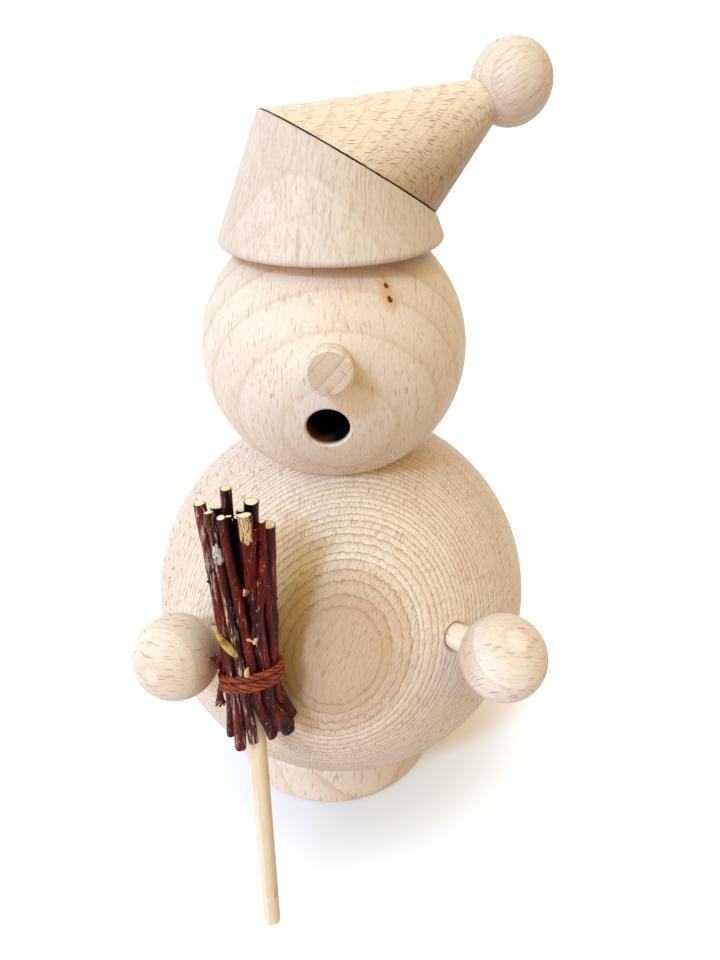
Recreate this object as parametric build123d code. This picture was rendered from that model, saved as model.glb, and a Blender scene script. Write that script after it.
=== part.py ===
from build123d import *
import math
import os

# A turned wooden incense smoker in the shape of a snowman with a twig broom.
# Millimetres, +Z up, the figure faces -Y, left and right are the figure's own.
# The origin is on the figure's axis at the base's underside, where it stands on a table.

# Base disc and the tray that carries the incense cone
BASE_DIA = 39.4
BASE_THICK = 9.0
BASE_EDGE = 0.9
BASE_ASIDE = -2.4
SPIGOT_HEIGHT = 4.0
TRAY_DIA = 21.6
TRAY_RIM = 2.6
TRAY_SHEET = 0.6
TRAY_SINK = 1.2

# Body ball with its smoke chamber
BODY_DIA = 65.0
BODY_SEAT_DIA = 34.0
CHAMBER_DIA = 27.4
CHAMBER_HEIGHT = 41.0
AIR_HOLE_DIA = 6.0
AIR_HOLE_HEIGHT = 8.0

# Neck and head ball
NECK_FLAT_DIA = 24.0
SLEEVE_DIA = 12.0
SLEEVE_LENGTH = 16.0
SMOKE_DIA = 8.0
HEAD_DIA = 40.0
HAT_SEAT_DIA = 24.0
MOUTH_DIA = 6.0
MOUTH_DROP = 4.4
MOUTH_ASIDE = -0.6
MOUTH_RIM = 0.3
NOSE_DIA = 6.0
NOSE_RISE = 12.9
NOSE_STANDS_OUT = 5.0
NOSE_DEPTH = 9.0
NOSE_EDGE = 0.35

# Hat: a cone sawn across on a slant, its tip turned half round and set back on
HAT_DIA = 32.7
HAT_TIP_DIA = 6.5
HAT_HEIGHT = 31.0
HAT_BRIM_ROUND = 0.7
CUT_LOW_WALL = 1.88
CUT_SLANT = 31.1
CUT_FACING = 18.9
SAW_KERF = 0.5
CUT_EDGE = 0.2
HAT_DOWEL_DIA = 6.0
HAT_DOWEL_IN_HAT = 4.5
HAT_DOWEL_IN_HEAD = 8.0
BEND_DOWEL_DIA = 4.0
BEND_DOWEL_DEPTH = 4.0
POMPOM_DIA = 11.5
POMPOM_FLAT_DIA = 6.0
POMPOM_DOWEL_DIA = 3.0
POMPOM_DOWEL_DEPTH = 4.0

# Hands on round pegs: the way they point, and how far each stands off the body
HAND_DIA = 12.2
HAND_RISE = 17.6
LEFT_HAND_ANGLE = 35.1
LEFT_HAND_STAND_OFF = 3.5
RIGHT_HAND_ANGLE = -36.0
RIGHT_HAND_STAND_OFF = 1.8
PEG_DIA = 4.0
PEG_IN_BODY = 11.0
PEG_IN_HAND = 7.0
PEG_HOLE_RIM = 0.5

# Broom, held upside down against the right hand
TIE_TO_BODY = 0.9
TIE_TO_HAND = 0.6
TIE_RISE = 18.4
HANDLE_DIA = 2.6
HANDLE_LIFT = 0.4
HANDLE_LEAN = 8.3
HANDLE_ABOVE_TIE = 4.0
HANDLE_EDGE = 0.3
BUNDLE_LEAN = 0.6
BUNDLE_TWIST = 0.017
BUNDLE_STRAIGHT = 3.4
RING_START = -11.0
SPREAD_ABOVE = 0.008
SPREAD_BELOW = 0.05
FOOT_KICK = 0.15
TWIG_GAP = 0.1
# Each twig, in turn from the right, round the front: diameter, reach above the tie, reach below it,
# and how far its top and its foot bend to the right
TWIGS = [
    (2.0, 22.5, 8.4, 0.4, 0.6),
    (1.0, 23.8, 4.4, 0.1, 0.1),
    (1.9, 25.2, 8.8, -0.2, 0.8),
    (1.3, 25.3, 8.5, -0.8, 0.3),
    (1.4, 25.4, 9.1, -0.6, -0.6),
    (1.6, 26.0, 10.6, -0.6, -0.7),
    (1.3, 22.2, 9.2, -0.1, -0.5),
    (1.6, 24.0, 10.0, 0.6, 0.0),
    (1.6, 26.2, 10.4, 0.3, 0.2),
    (1.3, 22.8, 10.8, 0.2, 0.4),
    (2.0, 24.4, 12.8, -0.2, 0.6),
    (1.5, 21.6, 11.4, -0.2, 0.5),
]
FORKED_TWIGS = (4, 8, 12)
FORK_START = 9.0
FORK_DIA = 0.75
FORK_REACH = 1.0
STUB_TWIG = 5
STUB_START = 5.0
STUB_RISE = 4.6
STUB_LEFT = 2.2
STUB_FRONT = 1.5
STUB_DIA = 1.2
TIE_DIA = 0.6
TIE_TURNS = 3
TIE_SPACE = 0.48
TIE_TILT = 17.3
TIE_TILT_TURN = 23.0
TIE_LOOSE = 0.08
TIE_BEND = 1.3
TIE_TAIL_DOWN = 2.6
TIE_TAIL_UP = 1.6

# Clearances, each on the radius or at one end
RUN_CLEAR = 0.09
GLUE_CLEAR = 0.03
END_CLEAR = 0.3

os.makedirs("parts", exist_ok=True)


def flat_distance(ball_dia, flat_dia):
    """Distance from a ball's centre to a flat of the given diameter cut on it."""
    return math.sqrt((ball_dia / 2) ** 2 - (flat_dia / 2) ** 2)


def heading(turn, rise):
    """Unit vector at an angle round from the front, towards the figure's left, and a rise."""
    turn_r = math.radians(turn)
    rise_r = math.radians(rise)
    flat = math.cos(rise_r)
    return Vector(flat * math.sin(turn_r), -flat * math.cos(turn_r), math.sin(rise_r))


def rod(start, end, dia):
    """Round rod between two points."""
    run = end - start
    plane = Plane(origin=start, z_dir=run)
    return plane * Cylinder(dia / 2, run.length, align=(Align.CENTER, Align.CENTER, Align.MIN))


def save(node, solid):
    """Write one node."""
    export_step(solid, f"parts/{node}.step")
    print(node, "volume", round(solid.volume, 2))


# Heights of the stack, from the table up
body_seat_z = BASE_THICK
body_z = body_seat_z + flat_distance(BODY_DIA, BODY_SEAT_DIA)
neck_z = body_z + flat_distance(BODY_DIA, NECK_FLAT_DIA)
head_z = neck_z + flat_distance(HEAD_DIA, NECK_FLAT_DIA)
hat_z = head_z + flat_distance(HEAD_DIA, HAT_SEAT_DIA)
spigot_top_z = BASE_THICK + SPIGOT_HEIGHT
tray_z = spigot_top_z - TRAY_SINK
mouth_z = head_z - MOUTH_DROP
smoke_top_z = mouth_z + MOUTH_DIA / 2 + END_CLEAR
body_centre = Vector(0, 0, body_z)
head_centre = Vector(0, 0, head_z)


def make_base():
    """Base disc, set a little aside, with the spigot that centres the body, sunk on top for the tray."""
    disc = Pos(BASE_ASIDE, 0, BASE_THICK / 2) * Cylinder(BASE_DIA / 2, BASE_THICK)
    disc = fillet(disc.edges().filter_by(GeomType.CIRCLE), BASE_EDGE)
    spigot_r = CHAMBER_DIA / 2 - RUN_CLEAR
    spigot = Pos(0, 0, BASE_THICK) * Cylinder(
        spigot_r, SPIGOT_HEIGHT, align=(Align.CENTER, Align.CENTER, Align.MIN)
    )
    recess = Pos(0, 0, tray_z) * Cylinder(
        TRAY_DIA / 2 + RUN_CLEAR, TRAY_SINK, align=(Align.CENTER, Align.CENTER, Align.MIN)
    )
    return disc + spigot - recess


def make_tray():
    """Pressed sheet dish for the incense cone."""
    outer = Pos(0, 0, tray_z) * Cylinder(
        TRAY_DIA / 2, TRAY_RIM, align=(Align.CENTER, Align.CENTER, Align.MIN)
    )
    foot = outer.edges().filter_by(GeomType.CIRCLE).sort_by(Axis.Z)[0]
    outer = fillet(foot, TRAY_SHEET * 1.5)
    hollow = Pos(0, 0, tray_z + TRAY_SHEET) * Cylinder(
        TRAY_DIA / 2 - TRAY_SHEET, TRAY_RIM, align=(Align.CENTER, Align.CENTER, Align.MIN)
    )
    floor_edge = hollow.edges().filter_by(GeomType.CIRCLE).sort_by(Axis.Z)[0]
    return outer - fillet(floor_edge, TRAY_SHEET * 0.5)


def ball_with_flats(dia, low_flat_dia, high_flat_dia):
    """Ball about the origin, cut flat below and above."""
    ball = Sphere(dia / 2)
    low = Plane.XY.offset(-flat_distance(dia, low_flat_dia))
    high = Plane.XY.offset(flat_distance(dia, high_flat_dia))
    ball = split(ball, bisect_by=low, keep=Keep.TOP)
    return split(ball, bisect_by=high, keep=Keep.BOTTOM)


def hand_heading(turn):
    """The way one hand's peg points."""
    return heading(turn, HAND_RISE)


def make_body():
    """Body ball: smoke chamber from below, neck bore, peg holes and the air hole at the back."""
    ball = body_centre_pos * ball_with_flats(BODY_DIA, BODY_SEAT_DIA, NECK_FLAT_DIA)
    chamber = rod(Vector(0, 0, body_seat_z), Vector(0, 0, body_seat_z + CHAMBER_HEIGHT), CHAMBER_DIA)
    channel = rod(Vector(0, 0, body_seat_z + CHAMBER_HEIGHT / 2), Vector(0, 0, neck_z), SMOKE_DIA)
    socket = rod(
        Vector(0, 0, neck_z - SLEEVE_LENGTH / 2 - END_CLEAR),
        Vector(0, 0, neck_z),
        SLEEVE_DIA + 2 * GLUE_CLEAR,
    )
    air_z = body_seat_z + AIR_HOLE_HEIGHT
    air_hole = rod(Vector(0, 0, air_z), Vector(0, BODY_DIA / 2, air_z), AIR_HOLE_DIA)
    ball = ball - chamber - channel - socket - air_hole
    hole_r = PEG_DIA / 2 + RUN_CLEAR
    for turn in (LEFT_HAND_ANGLE, RIGHT_HAND_ANGLE):
        out = hand_heading(turn)
        floor = body_centre + out * (BODY_DIA / 2 - PEG_IN_BODY - END_CLEAR)
        ball = ball - rod(floor, body_centre + out * BODY_DIA, 2 * hole_r)
        mouth_at = math.sqrt((BODY_DIA / 2) ** 2 - (hole_r + PEG_HOLE_RIM) ** 2)
        rim_plane = Plane(origin=body_centre + out * mouth_at, z_dir=out)
        rim = rim_plane * Cone(
            hole_r,
            hole_r + 2 * PEG_HOLE_RIM,
            2 * PEG_HOLE_RIM,
        )
        ball = ball - rim
    return ball


def make_sleeve():
    """Hollow dowel that joins the balls at the neck and lets the smoke through."""
    low = Vector(0, 0, neck_z - SLEEVE_LENGTH / 2)
    high = Vector(0, 0, neck_z + SLEEVE_LENGTH / 2)
    return rod(low, high, SLEEVE_DIA) - rod(low, high, SMOKE_DIA)


def make_head():
    """Head ball: sleeve socket, smoke bore, mouth, nose hole and the hat's dowel hole."""
    ball = head_centre_pos * ball_with_flats(HEAD_DIA, NECK_FLAT_DIA, HAT_SEAT_DIA)
    socket_top = Vector(0, 0, neck_z + SLEEVE_LENGTH / 2 + END_CLEAR)
    socket = rod(Vector(0, 0, neck_z), socket_top, SLEEVE_DIA + 2 * GLUE_CLEAR)
    bore = rod(Vector(0, 0, neck_z), Vector(0, 0, smoke_top_z), SMOKE_DIA)
    mouth = rod(Vector(MOUTH_ASIDE, 0, mouth_z), Vector(MOUTH_ASIDE, -HEAD_DIA, mouth_z), MOUTH_DIA)
    nose_floor = head_centre + nose_heading * (HEAD_DIA / 2 - NOSE_DEPTH - END_CLEAR)
    nose_hole = rod(nose_floor, head_centre + nose_heading * HEAD_DIA, NOSE_DIA + 2 * GLUE_CLEAR)
    dowel_floor = Vector(0, 0, hat_z - HAT_DOWEL_IN_HEAD - END_CLEAR)
    dowel_hole = rod(dowel_floor, Vector(0, 0, hat_z), HAT_DOWEL_DIA + 2 * GLUE_CLEAR)
    head = ball - socket - bore - mouth
    mouth_front = Vector(MOUTH_ASIDE, -HEAD_DIA / 2, mouth_z)
    lip = [edge for edge in head.edges() if (edge @ 0.5 - mouth_front).length < MOUTH_DIA]
    head = chamfer(lip, MOUTH_RIM)
    return head - nose_hole - dowel_hole


def make_nose():
    """Nose: a short length of dowel, broken at its front edge."""
    start = head_centre + nose_heading * (HEAD_DIA / 2 - NOSE_DEPTH)
    end = head_centre + nose_heading * (HEAD_DIA / 2 + NOSE_STANDS_OUT)
    nose = rod(start, end, NOSE_DIA)
    front = nose.edges().filter_by(GeomType.CIRCLE).sort_by_distance(end)[0]
    return chamfer(front, NOSE_EDGE)


body_centre_pos = Pos(body_centre)
head_centre_pos = Pos(head_centre)
nose_heading = heading(0, NOSE_RISE)

# The hat's slanted cut, worked out on the cone in the upright plane that the cut slopes down in
hat_taper = (HAT_DIA - HAT_TIP_DIA) / 2 / HAT_HEIGHT
cut_height = CUT_LOW_WALL + HAT_DIA / 2 * math.tan(math.radians(CUT_SLANT))
cut_normal = Vector(0, 0, 1).rotate(Axis.Y, CUT_SLANT).rotate(Axis.Z, CUT_FACING)
cut_downhill = Vector(1, 0, 0).rotate(Axis.Y, CUT_SLANT).rotate(Axis.Z, CUT_FACING)


def cut_centre(height):
    """Centre of the oval that the cut makes, where its plane meets the axis at a height on the cone."""
    fall = math.tan(math.radians(CUT_SLANT))
    radius = HAT_DIA / 2 - hat_taper * height
    low = radius / (1 - hat_taper * fall)
    high = -radius / (1 + hat_taper * fall)
    along = (low + high) / 2 / math.cos(math.radians(CUT_SLANT))
    return Vector(0, 0, hat_z + height) + cut_downhill * along


lower_centre = cut_centre(cut_height)
upper_centre = cut_centre(cut_height + SAW_KERF / math.cos(math.radians(CUT_SLANT)))
hat_cone = Pos(0, 0, hat_z) * Cone(
    HAT_DIA / 2, HAT_TIP_DIA / 2, HAT_HEIGHT, align=(Align.CENTER, Align.CENTER, Align.MIN)
)


def tip_point(height):
    """A point of the cone's own axis, carried round with the turned tip."""
    start = Vector(0, 0, hat_z + height) - upper_centre
    return lower_centre + cut_normal * (2 * start.dot(cut_normal)) - start


tip_centre = tip_point(HAT_HEIGHT)
tip_heading = (tip_centre - tip_point(0)).normalized()
pompom_centre = tip_centre + tip_heading * flat_distance(POMPOM_DIA, POMPOM_FLAT_DIA)


def cut_rim(part):
    """The oval edge of a hat part."""
    return part.edges().filter_by(GeomType.ELLIPSE)[0]


def make_hat_lower():
    """Lower part of the hat, with its rounded brim and two dowel holes."""
    lower = split(hat_cone, bisect_by=Plane(origin=lower_centre, z_dir=cut_normal), keep=Keep.BOTTOM)
    brim = lower.edges().filter_by(GeomType.CIRCLE).sort_by(Axis.Z)[0]
    lower = fillet(brim, HAT_BRIM_ROUND)
    lower = chamfer(cut_rim(lower), CUT_EDGE)
    dowel_top = Vector(0, 0, hat_z + HAT_DOWEL_IN_HAT + END_CLEAR)
    dowel_hole = rod(Vector(0, 0, hat_z), dowel_top, HAT_DOWEL_DIA + 2 * GLUE_CLEAR)
    bend_floor = lower_centre - cut_normal * (BEND_DOWEL_DEPTH + END_CLEAR)
    bend_hole = rod(bend_floor, lower_centre, BEND_DOWEL_DIA + 2 * GLUE_CLEAR)
    return lower - dowel_hole - bend_hole


def make_hat_upper():
    """Upper part of the hat: the cone's tip, turned half round about the cut."""
    upper = split(hat_cone, bisect_by=Plane(origin=upper_centre, z_dir=cut_normal), keep=Keep.TOP)
    upper = upper.rotate(Axis(upper_centre, cut_normal), 180)
    upper = Pos(lower_centre - upper_centre) * upper
    upper = chamfer(cut_rim(upper), CUT_EDGE)
    bend_top = lower_centre + cut_normal * (BEND_DOWEL_DEPTH + END_CLEAR)
    bend_hole = rod(lower_centre, bend_top, BEND_DOWEL_DIA + 2 * GLUE_CLEAR)
    dowel_floor = tip_centre - tip_heading * (POMPOM_DOWEL_DEPTH + END_CLEAR)
    dowel_hole = rod(dowel_floor, tip_centre, POMPOM_DOWEL_DIA + 2 * GLUE_CLEAR)
    return upper - bend_hole - dowel_hole


def make_hat_dowel():
    """Dowel between head and hat."""
    low = Vector(0, 0, hat_z - HAT_DOWEL_IN_HEAD)
    return rod(low, Vector(0, 0, hat_z + HAT_DOWEL_IN_HAT), HAT_DOWEL_DIA)


def make_bend_dowel():
    """Dowel across the slanted cut."""
    low = lower_centre - cut_normal * BEND_DOWEL_DEPTH
    return rod(low, lower_centre + cut_normal * BEND_DOWEL_DEPTH, BEND_DOWEL_DIA)


def make_pompom():
    """Pompom ball, cut flat and drilled where it meets the hat's tip."""
    ball = Pos(pompom_centre) * Sphere(POMPOM_DIA / 2)
    ball = split(ball, bisect_by=Plane(origin=tip_centre, z_dir=tip_heading), keep=Keep.TOP)
    hole_end = tip_centre + tip_heading * (POMPOM_DOWEL_DEPTH + END_CLEAR)
    return ball - rod(tip_centre, hole_end, POMPOM_DOWEL_DIA + 2 * GLUE_CLEAR)


def make_pompom_dowel():
    """Thin dowel between the hat's tip and the pompom."""
    low = tip_centre - tip_heading * POMPOM_DOWEL_DEPTH
    return rod(low, tip_centre + tip_heading * POMPOM_DOWEL_DEPTH, POMPOM_DOWEL_DIA)


def hand_centre(turn, gap):
    """Centre of a hand ball that stands a gap off the body."""
    return body_centre + hand_heading(turn) * (BODY_DIA / 2 + gap + HAND_DIA / 2)


def make_peg(turn, gap):
    """Peg from its hole in the body into the hand."""
    out = hand_heading(turn)
    start = body_centre + out * (BODY_DIA / 2 - PEG_IN_BODY)
    return rod(start, body_centre + out * (BODY_DIA / 2 + gap + PEG_IN_HAND), PEG_DIA)


def make_hand(turn, gap):
    """Hand ball, drilled for its peg."""
    out = hand_heading(turn)
    near = body_centre + out * (BODY_DIA / 2 + gap)
    hole = rod(near - out * PEG_DIA, near + out * (PEG_IN_HAND + END_CLEAR), PEG_DIA + 2 * GLUE_CLEAR)
    return Pos(hand_centre(turn, gap)) * Sphere(HAND_DIA / 2) - hole


# The broom's ring of twigs: each touches the tie inside and stands a gap from the next


def ring_angles(tie_inner):
    """Angle from each twig to the next one round, inside a tie of the given radius."""
    steps = []
    for index, twig in enumerate(TWIGS):
        following = TWIGS[(index + 1) % len(TWIGS)]
        a = tie_inner - twig[0] / 2
        b = tie_inner - following[0] / 2
        apart = (twig[0] + following[0]) / 2 + TWIG_GAP
        steps.append(math.acos((a * a + b * b - apart * apart) / (2 * a * b)))
    return steps


def closing_radius():
    """Inner radius of the tie at which the ring of twigs just closes."""
    widest = max(twig[0] for twig in TWIGS)
    low = widest
    high = widest * len(TWIGS)
    for _ in range(60):
        middle = (low + high) / 2
        if sum(ring_angles(middle)) > 2 * math.pi:
            low = middle
        else:
            high = middle
    return high


tie_inner_r = closing_radius()
tie_r = tie_inner_r + TIE_LOOSE + TIE_DIA / 2
tie_pitch = TIE_DIA + TIE_SPACE
tie_outer_r = tie_r + TIE_DIA / 2


def tie_turn():
    """Turn of the tie round the body at which it stands its clearance from the right hand."""
    to_tie = BODY_DIA / 2 + TIE_TO_BODY + tie_outer_r
    to_hand = BODY_DIA / 2 + RIGHT_HAND_STAND_OFF + HAND_DIA / 2
    apart = HAND_DIA / 2 + TIE_TO_HAND + tie_outer_r
    between = (to_tie**2 + to_hand**2 - apart**2) / (2 * to_tie * to_hand)
    tie_rise = math.radians(TIE_RISE)
    hand_rise = math.radians(HAND_RISE)
    level = (between - math.sin(tie_rise) * math.sin(hand_rise)) / (math.cos(tie_rise) * math.cos(hand_rise))
    return RIGHT_HAND_ANGLE + math.degrees(math.acos(level))


tie_centre = body_centre + heading(tie_turn(), TIE_RISE) * (BODY_DIA / 2 + TIE_TO_BODY + tie_outer_r)
handle_up = Vector(0, 0, 1).rotate(Axis.X, -HANDLE_LEAN)
handle_foot = tie_centre - handle_up * ((tie_centre.Z - HANDLE_LIFT) / handle_up.Z)
bundle_up = handle_up.rotate(Axis.Y, -BUNDLE_LEAN)
bundle_right = Vector(0, 1, 0).cross(bundle_up).normalized()
bundle_back = bundle_up.cross(bundle_right)


def in_bundle(right, back, up):
    """A point given along the bundle's own directions from the middle of the tie."""
    return tie_centre + bundle_right * right + bundle_back * back + bundle_up * up


def twig_point(twig, radius, angle, up):
    """A point of a twig of the twisted bundle, at its ring radius and angle, at a height on it."""
    _, above, below, top_shift, foot_shift = twig
    right = radius * math.cos(angle)
    back = -radius * math.sin(angle)
    over = max(0, up - BUNDLE_STRAIGHT)
    under = max(0, -up - BUNDLE_STRAIGHT)
    bend = right * (SPREAD_ABOVE * over + SPREAD_BELOW * under) + FOOT_KICK * under
    bend += top_shift * over / (above - BUNDLE_STRAIGHT)
    bend += foot_shift * under / (below - BUNDLE_STRAIGHT)
    return in_bundle(right + BUNDLE_TWIST * back * up + bend, back - BUNDLE_TWIST * right * up, up)


def make_twig(number, angle):
    """One twig, straight inside the tie and bent out past it, with its fork or its stub where it has one."""
    shape = TWIGS[number - 1]
    dia, above, below = shape[:3]
    radius = tie_inner_r - dia / 2
    heights = (-below, -BUNDLE_STRAIGHT, BUNDLE_STRAIGHT, above)
    line = [twig_point(shape, radius, angle, up) for up in heights]
    section = Plane(origin=line[0], z_dir=line[1] - line[0]) * Circle(dia / 2)
    twig = sweep(section, path=Polyline(*line), transition=Transition.RIGHT)
    if number in FORKED_TWIGS:
        fork_end = twig_point(shape, FORK_REACH, angle, above - FORK_DIA)
        twig = twig + rod(twig_point(shape, radius, angle, FORK_START), fork_end, FORK_DIA)
    if number == STUB_TWIG:
        stub_root = twig_point(shape, radius, angle, STUB_START)
        stub_run = bundle_up * STUB_RISE - bundle_right * STUB_LEFT - bundle_back * STUB_FRONT
        twig = twig + rod(stub_root, stub_root + stub_run, STUB_DIA)
    return twig


def make_handle():
    """Broom handle: a thin stick from the table up into the bundle."""
    top = tie_centre + handle_up * HANDLE_ABOVE_TIE
    stick = rod(handle_foot, top, HANDLE_DIA)
    return chamfer(stick.edges().filter_by(GeomType.CIRCLE), HANDLE_EDGE)


def helix_point(turn):
    """Point and direction of the tie's winding after a number of turns from the left, on a tilt."""
    angle = math.pi + 2 * math.pi * turn
    slope = math.tan(math.radians(TIE_TILT)) * tie_r
    from_highest = angle + math.pi / 2 - math.radians(TIE_TILT_TURN)
    up = (turn - TIE_TURNS / 2) * tie_pitch + slope * math.cos(from_highest)
    point = in_bundle(tie_r * math.cos(angle), tie_r * math.sin(angle), up)
    rise = tie_pitch / (2 * math.pi) - slope * math.sin(from_highest)
    run = bundle_right * (-tie_r * math.sin(angle)) + bundle_back * (tie_r * math.cos(angle))
    return point, (run + bundle_up * rise).normalized()


def biarc(start, start_way, end, end_way):
    """Two arcs that leave one point along its direction and reach the next along its own."""
    span = end - start
    both = start_way + end_way
    spread = 2 * (1 - start_way.dot(end_way))
    lean = span.dot(both)
    reach = (-lean + math.sqrt(lean * lean + spread * span.dot(span))) / spread
    joint = (start + start_way * reach + end - end_way * reach) * 0.5
    first = TangentArc(start, joint, tangent=start_way)
    second = TangentArc(joint, end, tangent=first % 1)
    return [first, second]


def tie_path():
    """Route of the tie: a tail up from below, the turns in quarters, and a tail upwards."""
    way_points = []
    first, _ = helix_point(0)
    last, _ = helix_point(TIE_TURNS)
    way_points.append((first + bundle_back * TIE_BEND - bundle_up * TIE_BEND, bundle_up))
    for quarter in range(4 * TIE_TURNS + 1):
        way_points.append(helix_point(quarter / 4))
    way_points.append((last - bundle_back * TIE_BEND + bundle_up * TIE_BEND, bundle_up))
    tail_low = way_points[0][0] - bundle_up * TIE_TAIL_DOWN
    tail_high = way_points[-1][0] + bundle_up * TIE_TAIL_UP
    edges = [Line(tail_low, way_points[0][0])]
    for here, there in zip(way_points, way_points[1:]):
        edges.extend(biarc(*here, *there))
    edges.append(Line(way_points[-1][0], tail_high))
    return edges


def least_gap(edges):
    """Least gap between stretches of the tie that are not next to each other along it."""
    points = []
    travelled = 0.0
    for edge in edges:
        count = max(4, int(edge.length / 0.1))
        for step in range(count):
            points.append((travelled + edge.length * step / count, edge @ (step / count)))
        travelled += edge.length
    skip = math.pi * tie_r
    gaps = [
        (p - q).length - TIE_DIA
        for i, (s, p) in enumerate(points)
        for t, q in points[i + 1:]
        if t - s > skip
    ]
    return min(gaps), travelled


def make_tie():
    """Cord wound round the bundle, its two ends left standing at the side of the hand."""
    edges = tie_path()
    gap, length = least_gap(edges)
    print("tie length", round(length, 2), "least gap to itself", round(gap, 3))
    path = Wire([edge.edge() for edge in edges])
    section = Plane(origin=edges[0] @ 0, z_dir=edges[0] % 0) * Circle(TIE_DIA / 2)
    return sweep(section, path=path)


save("base_disc", make_base())
save("incense_tray", make_tray())
save("body_ball", make_body())
save("neck_sleeve", make_sleeve())
save("head_ball", make_head())
save("nose_dowel", make_nose())
save("hat_dowel", make_hat_dowel())
save("hat_lower", make_hat_lower())
save("hat_bend_dowel", make_bend_dowel())
save("hat_upper", make_hat_upper())
save("pompom_dowel", make_pompom_dowel())
save("pompom_ball", make_pompom())
for side, hand_turn, hand_gap in (
    ("left", LEFT_HAND_ANGLE, LEFT_HAND_STAND_OFF),
    ("right", RIGHT_HAND_ANGLE, RIGHT_HAND_STAND_OFF),
):
    save(f"{side}_hand_peg", make_peg(hand_turn, hand_gap))
    save(f"{side}_hand_ball", make_hand(hand_turn, hand_gap))
save("broom_handle", make_handle())
ring_angle = math.radians(RING_START)
for twig_number, ring_step in enumerate(ring_angles(tie_inner_r), start=1):
    save(f"broom_twig_{twig_number:02d}", make_twig(twig_number, ring_angle))
    ring_angle += ring_step
save("broom_tie", make_tie())
print("heights: body", round(body_z, 3), "neck", round(neck_z, 3))
print("heights: head", round(head_z, 3), "hat", round(hat_z, 3))
print("tie centre", tie_centre, "turn", round(tie_turn(), 3), "handle foot", handle_foot)
print("tie inner radius", round(tie_inner_r, 3), "tip", tip_centre, "pompom", pompom_centre)
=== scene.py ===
"""Dresses a turned wooden incense smoker, a snowman with a twig broom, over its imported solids."""

import logging
import math
from dataclasses import dataclass, field
from enum import Enum, IntEnum

import bmesh
import bpy
from mathutils import Matrix, Vector, noise


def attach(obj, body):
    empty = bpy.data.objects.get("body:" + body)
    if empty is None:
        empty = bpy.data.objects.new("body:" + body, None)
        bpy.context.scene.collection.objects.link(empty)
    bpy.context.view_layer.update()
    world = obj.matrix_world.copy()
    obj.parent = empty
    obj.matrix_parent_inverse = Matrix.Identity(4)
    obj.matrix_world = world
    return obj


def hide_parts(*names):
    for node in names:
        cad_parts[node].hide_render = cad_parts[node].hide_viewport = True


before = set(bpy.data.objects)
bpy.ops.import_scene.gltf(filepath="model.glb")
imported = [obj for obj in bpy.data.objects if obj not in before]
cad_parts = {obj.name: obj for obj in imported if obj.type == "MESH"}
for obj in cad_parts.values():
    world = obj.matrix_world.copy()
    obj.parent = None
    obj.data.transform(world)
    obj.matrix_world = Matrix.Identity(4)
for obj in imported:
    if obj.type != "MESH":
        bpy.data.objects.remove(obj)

LOG = logging.getLogger("smoker")
MM = 0.001
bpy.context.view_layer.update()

Triple = tuple[float, float, float]

NO_TURN = Matrix.Identity(3)
NO_SHIFT = Vector((0.0, 0.0, 0.0))
BODY_MIDDLE: Triple = (0.0, 0.0, 36.699)
BODY_RADIUS = 32.5


def linear(colour: Triple) -> tuple[float, float, float, float]:
    """Turns a colour given in screen values into shader values.

    Args:
        colour: Red, green and blue from 0 to 255.

    Returns:
        The linear colour with full alpha.
    """
    parts = [value / 255.0 for value in colour]
    bent = [part / 12.92 if part <= 0.04045 else ((part + 0.055) / 1.055) ** 2.4 for part in parts]
    return (bent[0], bent[1], bent[2], 1.0)


def heading(turn: float, rise: float) -> Vector:
    """Gives a direction seen from the figure's middle.

    Args:
        turn: Degrees round from the front, towards the figure's left.
        rise: Degrees above the level.

    Returns:
        The unit direction.
    """
    turn_r = math.radians(turn)
    rise_r = math.radians(rise)
    flat = math.cos(rise_r)
    return Vector((flat * math.sin(turn_r), -flat * math.cos(turn_r), math.sin(rise_r)))


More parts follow.
